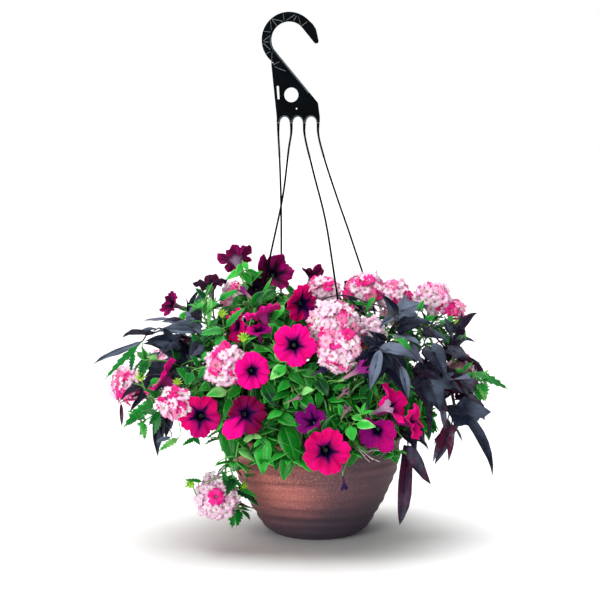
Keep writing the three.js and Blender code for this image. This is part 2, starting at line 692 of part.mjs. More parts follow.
// The front fan of a floret and the strip from its rim down to its facet.
function floretTriangles(points, face, start) {
  const rim = Array.from({ length: 10 }, (_, k) => start + k);
  const heart = start + 10;
  const triangles = rim.map((corner, k) => [heart, corner, rim[(k + 1) % 10]]);
  const nearest = (corner) =>
    face.reduce((best, i) =>
      points[i].distanceTo(points[corner]) < points[best].distanceTo(points[corner]) ? i : best,
    );
  const feet = rim.map(nearest);
  rim.forEach((corner, k) => {
    const next = (k + 1) % 10;
    triangles.push([rim[next], corner, feet[k]]);
    if (feet[k] !== feet[next]) {
      triangles.push([rim[next], feet[k], feet[next]]);
    }
  });
  return triangles;
}

// Every solid that has been placed, with the node it belongs to. A piece meets the one that it stands on in
// no more than TOUCH cubic millimetres.
const placed = [];
const TOUCH = 0.08;

function boxOf(solid) {
  const { min, max } = solid.boundingBox();
  return { min, max };
}

function boxesMeet(a, b) {
  return [0, 1, 2].every((i) => a.min[i] <= b.max[i] && b.min[i] <= a.max[i]);
}

// Whether a solid is clear of what has been placed, apart from the nodes or pieces it may touch.
function isClear(solid, mayTouch) {
  const box = boxOf(solid);
  return placed.every(
    (other) =>
      mayTouch(other) || !boxesMeet(box, other.box) || solid.intersect(other.solid).volume() < 1e-4,
  );
}

function put(node, look, kind, solid, extra = {}) {
  const row = { node, look, kind, solid, box: boxOf(solid), ...extra };
  placed.push(row);
  return row;
}

// Pot and soil
function lathe(rows, segments) {
  const profile = rows.map(([radius, height]) => new THREE.Vector2(radius, height));
  const geometry = new THREE.LatheGeometry(profile, segments);
  geometry.rotateX(Math.PI / 2);
  const made = solidFromGeometry(geometry);
  return made;
}

const potSolid = lathe([[0, FOOT], ...POT_OUTSIDE, ...POT_INSIDE, [0, FOOT + 6]], POT_SEGMENTS);
put("pot", "pot", "pot", potSolid);

const soilRows = [
  [0, SOIL_FLOOR],
  [52, SOIL_FLOOR],
  [insideRadius(62) - 1.6, 62],
  [insideRadius(110) - 1.2, 110],
  [insideRadius(SOIL_TOP - 3) - 1.2, SOIL_TOP - 3],
  [60, SOIL_TOP + 2],
  [0, SOIL_TOP + 2.5],
];
let soilSolid = lathe(soilRows, SOIL_SEGMENTS);

// Hanger: a flat hook with a keyhole plate, and four strands that end in clips under the lip
function hookSolid() {
  const outer = 39.4;
  const inner = 25.6;
  const shape = new THREE.Shape();
  shape.moveTo(34.4, 21.8);
  shape.absarc(0, 0, outer, radians(32), radians(236), false);
  shape.lineTo(-25.5, -34.2);
  shape.lineTo(-17.6, -111);
  const feet = STRANDS.map(([, foot]) => foot);
  shape.lineTo(feet[0] - 2.2, -118);
  feet.forEach((foot, i) => {
    shape.lineTo(foot + 2.2, -118);
    if (i + 1 < feet.length) {
      const nextFoot = feet[i + 1];
      shape.lineTo(foot + 5.2, -110.5);
      shape.lineTo(nextFoot - 5.2, -109.5);
      shape.lineTo(nextFoot - 2.2, -118);
    }
  });
  shape.lineTo(44.6, -110);
  shape.lineTo(42, -90);
  shape.lineTo(inner * Math.cos(radians(213)), inner * Math.sin(radians(213)));
  shape.absarc(0, 0, inner, radians(213), radians(44), true);
  shape.lineTo(36.6, -4.4);
  shape.lineTo(38.6, -6);
  shape.lineTo(42, -5);
  shape.lineTo(42.8, -2);
  shape.lineTo(39, 14.5);
  shape.closePath();
  const round = new THREE.Path();
  round.absarc(3.4, -78.4, 10.5, 0, 2 * Math.PI, true);
  const slot = new THREE.Path();
  slot.moveTo(-18.2, -66.5);
  slot.lineTo(-14.4, -66.5);
  slot.lineTo(-13.2, -85);
  slot.lineTo(-17, -85);
  slot.closePath();
  const tiny = new THREE.Path();
  tiny.moveTo(9.6, -98);
  tiny.lineTo(11, -96.6);
  tiny.lineTo(12.4, -98);
  tiny.lineTo(11, -99.4);
  tiny.closePath();
  shape.holes.push(round, slot, tiny);
  const geometry = new THREE.ExtrudeGeometry(shape, {
    depth: HOOK_THICKNESS,
    bevelEnabled: false,
    curveSegments: 9,
  });
  geometry.translate(0, 0, -HOOK_THICKNESS / 2);
  geometry.rotateX(Math.PI / 2);
  geometry.rotateZ(HOOK_TURN);
  geometry.translate(HOOK_CENTRE.x, HOOK_CENTRE.y, HOOK_CENTRE.z);
  return solidFromGeometry(geometry);
}
put("hanger_hook", "plastic", "hanger", hookSolid());

// The pot has flat sides, so a clip sits a little nearer its axis than the lip's corners.
const FLAT_SHARE = Math.cos(Math.PI / POT_SEGMENTS) / Math.cos(radians(2.5));
const LIP_FLAT = RIM_RADIUS * FLAT_SHARE;
const LIP_FOOT_FLAT = LIP_FOOT_RADIUS * FLAT_SHARE;

function strandSolid(foot, waypoints, turn) {
  const toward = new THREE.Vector3(Math.cos(radians(turn)), Math.sin(radians(turn)), 0);
  const start = new THREE.Vector3(foot, 0, -118 - GAP)
    .applyAxisAngle(new THREE.Vector3(0, 0, 1), HOOK_TURN)
    .add(HOOK_CENTRE);
  const outside = toward.clone().multiplyScalar(LIP_FLAT + 3);
  const curve = new THREE.CatmullRomCurve3([
    start,
    start.clone().add(new THREE.Vector3(0, 0, -14)),
    ...waypoints.map(vector),
    outside.clone().setZ(RIM_TOP + 16),
    outside.clone().setZ(RIM_TOP - 4),
  ]);
  const circle = new THREE.Shape();
  circle.absarc(0, 0, STRAND_RADIUS, 0, 2 * Math.PI, false);
  const cord = new THREE.ExtrudeGeometry(circle, {
    steps: 13,
    curveSegments: 3,
    bevelEnabled: false,
    extrudePath: curve,
  });
  const clip = new THREE.Shape();
  const lipFoot = RIM_TOP - LIP_HEIGHT;
  const clipRows = [
    [LIP_FLAT + GAP, RIM_TOP - 1],
    [LIP_FLAT + 5.5, RIM_TOP + 1],
    [LIP_FLAT + 5.5, lipFoot - 4],
    [LIP_FOOT_FLAT + GAP, lipFoot - 3.4],
    [LIP_FOOT_FLAT + GAP, lipFoot - GAP],
    [LIP_FLAT + GAP, lipFoot + 0.5],
  ];
  clipRows.forEach(([radius, height], i) =>
    i ? clip.lineTo(radius, height) : clip.moveTo(radius, height),
  );
  clip.closePath();
  const clipGeometry = new THREE.ExtrudeGeometry(clip, { depth: 8, bevelEnabled: false });
  clipGeometry.translate(0, 0, -4);
  clipGeometry.rotateX(Math.PI / 2);
  clipGeometry.rotateZ(radians(turn));
  return solidFromGeometry(cord).add(solidFromGeometry(clipGeometry));
}
for (const [name, foot, waypoints, turn] of STRANDS) {
  put(name, "plastic", "hanger", strandSolid(foot, waypoints, turn));
}

// Flowers and heads. Those that share a node lean on each other, and all keep clear of the other nodes.
const flowerSpots = [];

function putFlower(node, look, solid) {
  const mates = placed.filter((row) => row.node === node);
  const leans = !mates.length || mates.some((mate) => mate.solid.intersect(solid).volume() > 5);
  if (!leans || !isClear(solid, (other) => other.node === node)) {
    throw new Error(`${node} has no room, or stands apart from its own node`);
  }
  put(node, look, "flower", solid);
}

for (const [node, look, plant, centreRow, facingRow, radius, roll] of PETUNIAS) {
  const facing = vector(facingRow).normalize();
  const centre = vector(centreRow);
  putFlower(node, look, petuniaSolid(centre, facing, radius, roll));
  const foot = centre.addScaledVector(facing, -tubeLength(radius) - GAP);
  flowerSpots.push({ plant: `petunia_plant_${plant}`, foot, facing, calyx: 3.6, node });
}

HEADS.forEach(([node, plant, centreRow, facingRow, radius, fullness], i) => {
  const facing = vector(facingRow).normalize();
  const centre = vector(centreRow);
  putFlower(node, "verbena", headSolid(centre, facing, radius, fullness, 400 + i));
  const foot = centre.addScaledVector(facing, -radius * CORE_SHARE * 0.7947 - GAP);
  flowerSpots.push({ plant: `verbena_plant_${plant}`, foot, facing, calyx: 2.6, node });
});

// Crowns: a short root piece for each plant in a plain round hole in the soil. It has a side for each stem.
const growths = new Map();
const crowns = new Map();
const stemCount = (name) =>
  flowerSpots.filter((spot) => spot.plant === name).length +
  SHOOTS.filter(([plant]) => plant === name).length +
  VINES.filter(([plant]) => plant === name).length;
for (const [name, look, [x, y]] of PLANTS) {
  const sides = Math.max(4, stemCount(name));
  const top = new THREE.Vector3(x, y, SOIL_TOP + 13);
  const bottom = new THREE.Vector3(x, y, SOIL_TOP - HOLE_DEPTH + 2);
  const growth = new Growth();
  const rings = ringsAlong([bottom, top], [CROWN_RADIUS, CROWN_RADIUS], new THREE.Vector3(1, 0, 0), sides);
  const faces = growth.addRings(rings);
  const floor = Array.from({ length: sides }, (_, k) => k).reverse();
  for (let k = 1; k + 1 < sides; k += 1) {
    growth.triangles.push([floor[0], floor[k], floor[k + 1]]);
  }
  growths.set(name, growth);
  const row = put(name, look, "crown", solidFromRings(rings), { growth });
  crowns.set(name, { look, top, row, faces: faces.filter((face) => !face.end), growth });
  const hole = new THREE.CylinderGeometry(HOLE_RADIUS, HOLE_RADIUS, HOLE_DEPTH + 10, 6);
  hole.rotateX(Math.PI / 2);
  hole.translate(x, y, SOIL_TOP - HOLE_DEPTH / 2 + 5);
  soilSolid = soilSolid.subtract(solidFromGeometry(hole));
}
put("soil", "soil", "soil", soilSolid);

// Corners of the foot of a stem on a face
function footOn(plane, radius) {
  return Array.from({ length: STEM_SIDES }, (_, k) => {
    const angle = (2 * Math.PI * k) / STEM_SIDES + Math.PI / 6;
    return plane.centre
      .clone()
      .addScaledVector(plane.first, radius * Math.cos(angle))
      .addScaledVector(plane.second, radius * Math.sin(angle));
  });
}

// Rings of a stem that stands on a face: its first ring lies in the face
function ringsFromFace(plane, points, radii, endWay = null) {
  const foot = footOn(plane, radii[0]);
  const firstSide = foot[0].clone().sub(plane.centre).normalize();
  const rings = ringsAlong([plane.centre, ...points], radii, firstSide, STEM_SIDES, endWay);
  rings[0] = foot;
  return rings;
}

// A stem through waypoints from a crown, bent aside until it is clear of every other stem and flower
function growStem(plant, waypoints, endRadius, seed, endWay = null, tries = 160) {
  const { growth, faces, look, row: crownRow } = crowns.get(plant);
  const draw = randomFrom(seed);
  const aim = waypoints[0].clone().setZ(0);
  const free = faces.filter((face) => !face.loop);
  const turnTo = (face) => {
    const { centre, normal } = growth.planeOf(face);
    return normal.dot(aim.clone().sub(centre.setZ(0)).normalize());
  };
  free.sort((a, b) => turnTo(b) - turnTo(a));
  for (let attempt = 0; attempt < tries; attempt += 1) {
    const face = free[attempt % Math.min(2, free.length)];
    const plane = growth.planeOf(face, 0.86);
    const bend = attempt * 0.5;
    const last = waypoints.length - 1;
    const bent = waypoints.map((point, i) => {
      const share = i === last ? 0 : i === last - 1 ? 0.35 : 1;
      const aside = new THREE.Vector3(draw() - 0.5, draw() - 0.5, draw() - 0.5);
      return point.clone().addScaledVector(aside, 2 * bend * share);
    });
    const away = plane.centre
      .clone()
      .addScaledVector(plane.normal, 5)
      .add(new THREE.Vector3(0, 0, 5));
    const curve = new THREE.CatmullRomCurve3([away, ...bent], false, "centripetal");
    const count = Math.max(3, Math.min(5, Math.round(curve.getLength() / 56)));
    const points = curve.getSpacedPoints(count);
    const radii = [1.5, ...points.map((_, i) => 2 - (0.7 * i) / count)];
    radii[count + 1] = endRadius;
    const rings = ringsFromFace(plane, points, radii, endWay);
    const solid = solidFromRings(rings);
    const clearOfCrown = solid.intersect(crownRow.solid).volume() < TOUCH;
    if (clearOfCrown && isClear(solid, (other) => other === crownRow || other.kind === "soil")) {
      const ids = growth.addPoints(rings[0]);
      face.loop = ids;
      face.plane = plane;
      const stemFaces = growth.addRings(rings, ids);
      return put(plant, look, "stem", solid, { growth, faces: stemFaces, points: [plane.centre, ...points] });
    }
  }
  throw new Error(`no way for a stem of ${plant} to ${waypoints.at(-1).toArray().map(Math.round)}`);
}

const stems = [];
const vineStems = [];
VINES.forEach(([plant, ...rows], i) => {
  vineStems.push({ row: growStem(plant, rows.map(vector), 1.2, 1500 + i), plant });
});
flowerSpots.forEach(({ plant, foot, facing, calyx, node }, i) => {
  const crown = crowns.get(plant);
  const reach = foot.distanceTo(crown.top);
  const under = foot.clone().addScaledVector(facing, -Math.min(22, reach * 0.2));
  const rise = crown.top.clone().lerp(under, 0.45);
  rise.z = Math.max(rise.z, crown.top.z + 28);
  const flat = Math.hypot(foot.x, foot.y);
  const waypoints = [rise];
  if (foot.z < RIM_TOP + 40 && flat > RIM_RADIUS - 20) {
    const over = under.clone().setZ(0).setLength(Math.max(RIM_RADIUS - 6, flat * 0.8));
    const crest = Math.max(foot.z + 34, RIM_TOP + 16);
    waypoints.length = 0;
    waypoints.push(over.clone().multiplyScalar(0.86).setZ(RIM_TOP + 34));
    waypoints.push(over.clone().multiplyScalar(1.16).setZ(crest));
  }
  if (ROUTES[node]) {
    waypoints.splice(0, waypoints.length, ...ROUTES[node].map(vector));
  }
  const row = growStem(plant, [...waypoints, under, foot], calyx, 900 + i, facing);
  stems.push({ row, plant, flowering: true });
});
SHOOTS.forEach(([plant, ...rows], i) => {
  stems.push({ row: growStem(plant, rows.map(vector), 1, 1300 + i), plant, flowering: false });
});

// The place and the direction at a share of the way along a stem's straight pieces
function alongStem(points, share) {
  const lengths = points.slice(1).map((point, i) => point.distanceTo(points[i]));
  let left = share * lengths.reduce((sum, length) => sum + length, 0);
  let i = 0;
  while (i < lengths.length - 1 && left > lengths[i]) {
    left -= lengths[i];
    i += 1;
  }
  const place = points[i].clone().lerp(points[i + 1], Math.min(1, left / lengths[i]));
  return [place, points[i + 1].clone().sub(points[i]).normalize()];
}

// The free side of a stem that looks most nearly along a direction, near a place
function sideOf(parent, place, way) {
  const { growth, faces } = parent;
  let best = null;
  for (const face of faces) {
    if (face.loop || face.end || face.segment === 0) {
      continue;
    }
    for (const share of [0.25, 0.5, 0.75]) {
      const plane = growth.planeOf(face, share);
      if (!goesRound(plane, face.ids.map((id) => growth.points[id]))) {
        continue;
      }
      const score = plane.centre.distanceTo(place) - 9 * plane.normal.dot(way);
      if (plane.normal.dot(way) > 0.2 && (!best || score < best.score)) {
        best = { face, plane, score };
      }
    }
  }
  return best;
}

// Whether corners go once round the middle of a face, seen from outside, the way its own corners do
function goesRound(plane, corners) {
  const angles = corners.map((corner) => {
    const arm = corner.clone().sub(plane.centre);
    return Math.atan2(arm.dot(plane.second), arm.dot(plane.first));
  });
  const steps = angles.map((angle, i) => {
    const step = angles[(i + 1) % angles.length] - angle;
    return step < -Math.PI ? step + 2 * Math.PI : step > Math.PI ? step - 2 * Math.PI : step;
  });
  return steps.every((step) => step > 0);
}

// A leaf on a face of its parent, tried at a few tilts until it is clear of everything else
function growLeaf(parent, spec, face, plane, seed, tries) {
  const { growth, node, look } = parent;
  const draw = randomFrom(seed);
  const shake = () => new THREE.Vector3(draw() - 0.5, draw() - 0.5, draw() - 0.5);
  for (let attempt = 0; attempt < tries; attempt += 1) {
    const tip = spec.tip.clone().addScaledVector(shake(), attempt * 7);
    const towards = spec.face.clone().addScaledVector(shake(), 0.2 * attempt);
    const shape = bladeShape({ ...spec, tip, face: towards, seat: plane.normal });
    const seated = goesRound(plane, shape.seatIds.map((id) => shape.points[id]));
    if (!seated || tip.clone().sub(spec.base).dot(plane.normal) < 0) {
      continue;
    }
    const solid = solidFrom(shape.points, shape.triangles);
    const clearOfParent = parent.solid.intersect(solid).volume() < TOUCH;
    if (clearOfParent && isClear(solid, (other) => other === parent)) {
      const ids = growth.addPoints(shape.points);
      growth.triangles.push(...shape.open.map((triangle) => triangle.map((id) => ids[id])));
      face.loop = shape.seatIds.map((id) => ids[id]);
      face.plane = plane;
      return put(node, look, "leaf", solid);
    }
  }
  return null;
}

// Large vine leaves, each on a stalk from a stem of its plant, the nearest that has room
const LEAF_TRIES = 60;
VINE_LEAVES.forEach(([plant, kind, baseRow, tipRow, width, faceRow], i) => {
  const base = vector(baseRow);
  const tip = vector(tipRow);
  const along = tip.clone().sub(base).normalize();
  const sides = vineStems
    .filter((stem) => stem.plant === plant)
    .map(({ row }) => ({ row, best: sideOf(row, base, base.clone().sub(row.points[3]).normalize()) }))
    .filter(({ best }) => best)
    .sort((a, b) => a.best.score - b.best.score);
  const draw = randomFrom(2000 + i);
  for (let attempt = 0; attempt < LEAF_TRIES; attempt += 1) {
    const { row, best } = sides[attempt % sides.length];
    const shake = new THREE.Vector3(draw() - 0.5, draw() - 0.5, draw() - 0.5);
    const end = base.clone().addScaledVector(shake, attempt * 0.6);
    const leave = best.plane.centre.clone().addScaledVector(best.plane.normal, 5);
    const middle = leave.lerp(end, 0.45).add(new THREE.Vector3(0, 0, 3));
    const rings = ringsFromFace(best.plane, [middle, end], [0.9, 1.2, 1.3], along);
    const solid = solidFromRings(rings);
    if (row.solid.intersect(solid).volume() > TOUCH || !isClear(solid, (other) => other === row)) {
      continue;
    }
    const { growth } = row;
    const pointMark = growth.points.length;
    const faceMark = growth.faces.length;
    const foot = growth.addPoints(rings[0]);
    const endFace = growth.addRings(rings, foot).at(-1);
    const plane = growth.planeOf(endFace);
    const stalk = put(plant, "vine", "stem", solid, { growth });
    const spec = { kind, base: plane.centre, tip, width, face: vector(faceRow), arch: 0.07, fold: 0.03 };
    if (growLeaf(stalk, spec, endFace, plane, 2500 + i, 12)) {
      best.face.loop = foot;
      best.face.plane = best.plane;
      return;
    }
    placed.splice(placed.indexOf(stalk), 1);
    growth.points.length = pointMark;
    growth.faces.length = faceMark;
  }
  throw new Error(`no room for large leaf ${i} of ${plant}`);
});

// Leaves by a rule along every petunia and verbena stem
const LEAF_TURN = radians(137.5);
stems.forEach(({ row, plant, flowering }, i) => {
  const verbena = plant.startsWith("verbena");
  const draw = randomFrom(3000 + i);
  const [, ...rest] = row.points;
  const length = rest.slice(1).reduce((sum, point, k) => sum + point.distanceTo(rest[k]), 0);
  const spacing = verbena ? 34 : 36;
  let grown = 0;
  const most = flowering ? (verbena ? i % 2 : 1) : 3;
  for (let k = 0; k < 8 && grown < most; k += 1) {
    const share = flowering ? 0.86 - (k * spacing) / length : 0.95 - (k * spacing * 0.7) / length;
    if (share < 0.3) {
      break;
    }
    const [start, along] = alongStem(row.points, share);
    const [first] = across(along, LEAF_TURN * k + draw() * 0.8);
    const way = first
      .clone()
      .addScaledVector(along, 0.5)
      .add(new THREE.Vector3(start.x, start.y, 30).multiplyScalar(0.0016))
      .normalize();
    const best = sideOf(row, start, way);
    if (!best) {
      continue;
    }
    const size = (verbena ? 36 : 46) * (0.85 + 0.3 * draw());
    const base = best.plane.centre;
    const spec = {
      kind: verbena ? "toothed" : "ovate",
      base,
      tip: base.clone().addScaledVector(way, size),
      width: size * (verbena ? 0.6 : 0.52),
      face: along.clone().addScaledVector(way, -0.2).add(new THREE.Vector3(0, -0.15, 0.35)),
      arch: 0.06,
      fold: 0.05,
    };
    if (growLeaf(row, spec, best.face, best.plane, 5000 + 97 * i + k, 9)) {
      grown += 1;
    }
  }
});

// One mesh for each node, its pieces fused
const group = new THREE.Group();
group.name = "petunia_hanging_basket";
const names = [...new Set(placed.map((row) => row.node))];
for (const name of names) {
  const rows = placed.filter((row) => row.node === name);
  const fuse = () => rows.slice(1).reduce((sum, row) => sum.add(row.solid), rows[0].solid);
  const whole = growths.has(name) ? growths.get(name).close() : fuse();
  const mesh = meshFrom(name, whole, rows[0].look);
  mesh.position.z = LIFT;
  group.add(mesh);
}

export default group;
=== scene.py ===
# Looks of the petunia hanging basket. Lengths are millimetres in this file and become metres in the meshes.
import math

import bpy
import numpy as np
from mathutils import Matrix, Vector, noise


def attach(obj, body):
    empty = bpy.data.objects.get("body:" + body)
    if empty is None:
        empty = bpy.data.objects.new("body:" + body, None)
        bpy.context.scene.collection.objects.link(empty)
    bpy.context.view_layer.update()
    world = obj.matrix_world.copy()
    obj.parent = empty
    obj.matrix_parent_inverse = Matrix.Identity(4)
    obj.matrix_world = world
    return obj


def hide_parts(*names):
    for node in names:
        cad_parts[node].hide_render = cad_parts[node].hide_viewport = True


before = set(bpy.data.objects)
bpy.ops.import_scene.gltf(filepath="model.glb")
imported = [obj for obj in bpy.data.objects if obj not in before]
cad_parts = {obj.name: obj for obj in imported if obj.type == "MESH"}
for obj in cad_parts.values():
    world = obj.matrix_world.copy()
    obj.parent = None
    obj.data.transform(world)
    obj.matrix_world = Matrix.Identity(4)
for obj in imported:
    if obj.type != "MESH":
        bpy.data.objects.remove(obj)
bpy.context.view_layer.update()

MM = 0.001
TURN = 2 * math.pi
GOLDEN_ANGLE = 2.399963
GOLDEN_SHARE = 0.618
PATH_STEP = 6.0

# The photo's view: its pitch, how far its eye is, the mm of a pixel and the place that its middle shows
PITCH = math.radians(5.5)
DISTANCE = 2500.0
PIXEL = 1.45
PHOTO_SIDE = 600
PHOTO_MIDDLE = PHOTO_SIDE / 2
AIM_X = -23.2
AIM_Z = 334.2
EYE = np.array([AIM_X, -DISTANCE * math.cos(PITCH), AIM_Z + DISTANCE * math.sin(PITCH)])
SENSOR = 36.0

# Pot
POT_FOOT = -8.0
LIFT = -POT_FOOT
RIM_TOP = 141.0
RIM_RADIUS = 127.0
WALL_RADIUS = 122.5
SOIL_TOP = 124.0
POT_OUTSIDE = [
    (50, POT_FOOT), (61, -5), (71, 1), (80, 9), (88.5, 25), (97.5, 39), (105.5, 57), (113, 73), (119.5, 92),
    (122, 116), (122.5, 134),
]
POT_LIP = [(123.2, 134.2), (126.2, 134.8), (127, 136), (127, 138.6), (126.4, 140.4), (125, 141), (121.5, 141)]
POT_INSIDE = [(120, 139.5), (116, 110), (99, 62), (70, 10), (44, -2)]

# Hanger
HOOK_CENTRE = (-39.0, 0.0, 708.0)
HOOK_TURN = -0.16
HOOK_HALF = 2.25
HOOK_FOOT = -118
FOOT_HALF = 2.2
STRAND_RADIUS = 1.4
# The rim of the solid has flat sides, and each clip sits a few degrees from the middle of one.
RIM_SIDES = 24
CLIP_OFF = math.radians(2.5)
# Strands: name, place along the hook's foot, waypoints and the way to the clip in degrees
STRANDS = [
    ("strand_back_left", -15.6, [(-53, 10, 546), (-51, 34, 478), (-51, 64, 388), (-53, 102, 250)], 115),
    ("strand_front_left", 3.3, [(-39, -8, 555), (-47.5, -20, 487), (-66, -36, 399), (-98, -52, 250)], 205),
    ("strand_front_right", 22.3, [(-5, -30, 523), (12, -52, 456), (23, -76, 389), (44, -110, 240)], 295),
    ("strand_back_right", 42.3, [(11, 12, 542), (31, 22, 481), (51, 32, 424), (90, 46, 300)], 25),
]

# Plants: name and place of the crown
PLANTS = {
    "petunia_plant_front_left": (-62, -62),
    "petunia_plant_front_centre": (-4, -78),
    "petunia_plant_front_right": (58, -62),
    "petunia_plant_top": (-42, 2),
    "petunia_plant_back_left": (-58, 62),
    "petunia_plant_back_right": (48, 68),
    "verbena_plant_left": (-88, -22),
    "verbena_plant_centre": (26, -28),
    "verbena_plant_right": (64, -4),
    "verbena_plant_back": (-4, 84),
    "vine_left": (-86, 22),
    "vine_right_upper": (86, 28),
    "vine_right_front": (88, -40),
    "vine_right_side": (98, -6),
    "vine_back": (8, 50),
}

# Petunias: colour and number, plant, centre of the open flower, way it faces, radius, roll in degrees, tint
# and what sets the bloom apart. A tint of 0 is plain, 1 the most purple and 2 maroon. Cleft is where the
# lobes part, flare how far the bloom opens like a funnel, star how strong its dark star is, bright how bright
# its petals are, roundness, notch and waves the shape of its rim, and tints, size and bend each lobe's tint,
# length and bend forward.
PETUNIAS = [
    ("magenta_01", "front_centre", (-31, -178, 290), (0.05, -1, 0.12), 30, 10, 0.1,
     dict(star=0.45, bright=0.7, bend=(0.02, 0.06, -0.08, 0.05, -0.03))),
    ("magenta_02", "front_left", (-87, -180, 255), (0.35, -0.95, 0.05), 26, 40, 0.0,
     dict(star=0.22, bright=0.9, cleft=0.84)),
    ("magenta_03", "front_left", (-160, -165, 191), (-0.15, -1, 0.12), 30, 0, 0.3,
     dict(star=0.68, bright=0.2, tints=(0.15, 0.2, 0.5, 0.45, 0.1))),
    # magenta_04: its four maroon lobes are painted shade inside the cup, and its plain lobe is the lit one.
    ("magenta_04", "front_left", (-95, -188, 198), (0.45, -0.9, 0.22), 29, 25, 0.45,
     dict(star=0.45, bright=0.85, tints=(2.0, 0.0, 2.0, 2.0, 2.0), bend=(0.26, -0.30, 0.24, 0.2, 0.16),
          size=(0.92, 1.42, 1.0, 0.90, 0.88), cleft=0.84)),
    ("magenta_05", "front_centre", (12, -207, 150), (0.08, -1, 0), 33, 15, 0.15,
     dict(star=0.42, bright=0.2, bend=(0.05, -0.1, 0.02, 0.08, -0.05))),
    ("magenta_05", "front_centre", (-7, -195, 189), (-0.5, -0.68, 0.53), 22, 50, 0.95,
     dict(star=0.7, bright=0.3, tints=(1, 1, 0.7, 0.8, 1), flare=0.30, cleft=0.62,
          bend=(0.35, 0.1, 0.3, -0.3, 0.4))),
    ("magenta_06", "front_right", (80, -186, 174), (-0.3, -0.9, -0.25), 28, 30, 0.7,
     dict(star=0.12, bright=0.5, size=(0.72, 1.0, 1.22, 1.1, 0.8), bend=(0.45, 0.05, -0.1, 0.1, 0.5),
          tints=(0.7, 0.62, 0.55, 0.5, 0.62), flare=0.15, cleft=0.82)),
    ("magenta_07", "front_right", (102, -166, 204), (0.77, -0.42, 0.48), 27, -36, 0.0,
     dict(star=0.4, bright=0.6, flare=0.25, cleft=0.66, bend=(0.2, -0.3, 0.1, -0.1, 0.35),
          size=(1.32, 0.95, 1.18, 1.18, 1.0))),
    ("magenta_07", "front_right", (130, -152, 180), (0.93, -0.35, 0.1), 26, 20, 0.1,
     dict(star=0.5, bright=0.4, flare=0.3, cleft=0.65)),
    ("magenta_08", "front_left", (-212, -128, 238), (-0.80, -0.02, 0.60), 32, 12, 0.1,
     dict(star=0.6, bright=0.6, flare=0.22, cleft=0.8)),
    ("magenta_09", "top", (-74, -112, 325), (-0.34, 0.34, 0.88), 28, 33, 0.15,
     dict(star=0.5, bright=0.8, flare=0.2, cleft=0.75)),
    ("magenta_09", "front_centre", (-80, -134, 306), (-0.15, -0.38, 0.92), 19, 3, 0.5,
     dict(star=0.6, bright=0.6, flare=0.1, cleft=0.88)),
    ("magenta_10", "top", (-19, -92, 337), (0.5, -0.8, -0.1), 29, 44, 0.45,
     dict(star=0.75, bright=0.15, cleft=0.62, bend=(0.3, -0.2, 0.15, -0.25, 0.2),
          size=(1.1, 0.9, 1.05, 0.85, 1.0), tints=(0.0, 0.2, 0.8, 0.4, 0.1))),
    ("magenta_11", "top", (-112, -90, 306), (-0.90, -0.42, 0.15), 27, 22, 0.2,
     dict(star=0.5, bright=0.3, flare=0.1, cleft=0.6)),
    ("dark_01", "top", (-115, -8, 394), (-0.24, 0.70, 0.67), 28, 10, 0.25,
     dict(star=0.0, cleft=0.50, flare=0.22, bright=0.45, bend=(0.1, 0, -0.1, 0, 0.05), roundness=0.42,
          notch=0.0, waves=0.4)),
    ("dark_07", "top", (-154, 10, 356), (-0.1, -0.3, 0.95), 27, 30, 0.6,
     dict(cleft=0.6, flare=0.2, bright=0.3)),
    ("dark_02", "top", (-60, -20, 376), (0.32, -0.72, 0.62), 29, 12, 0.4,
     dict(cleft=0.80, bright=0.42, bend=(0.40, -0.1, 0.0, 0.3, 0.5), tints=(0.4, 0.6, 0.0, 0.1, 0.3),
          size=(1.0, 0.85, 1.05, 0.9, 0.85), flare=0.1, notch=0.02)),
    ("dark_02", "top", (-88, -22, 354), (-0.3, -0.8, 0.5), 22, 50, 0.7, {}),
    ("dark_03", "top", (-210, 18, 326), (-0.76, -0.52, 0.32), 20, 10, 0.3,
     dict(cleft=0.70, flare=0.35, bright=0.4)),
    ("dark_04", "top", (-5, 20, 365), (0.42, -0.38, 0.82), 22, 41, 1.0,
     dict(cleft=0.50, flare=0.35, bright=0.2, tints=(0.8, 1, 1, 0.3, 0.6),
          bend=(0.3, -0.2, 0.2, 0.3, -0.3))),
    ("magenta_12", "back_right", (64, 176, 262), (0.2, 0.95, 0.25), 30, 18, 0.2, {}),
    ("magenta_13", "back_left", (-78, 182, 212), (-0.3, 0.92, 0.2), 31, 5, 0.0, {}),
    ("magenta_14", "back_right", (152, 134, 188), (0.7, 0.7, 0.1), 30, 33, 0.3, {}),
    ("magenta_15", "back_left", (-172, 116, 186), (-0.8, 0.6, 0.08), 29, 12, 0.1, {}),
    ("magenta_16", "back_right", (14, 206, 160), (0.05, 1, 0), 30, 27, 0.5, {}),
    ("magenta_17", "back_left", (-28, 122, 324), (-0.05, 0.7, 0.7), 28, 36, 0.2, {}),
    ("dark_05", "back_right", (66, 92, 346), (0.3, 0.5, 0.8), 26, 8, 0.4, {}),
    ("dark_06", "back_left", (-96, 104, 318), (-0.4, 0.6, 0.7), 26, 21, 0.6, {}),
]

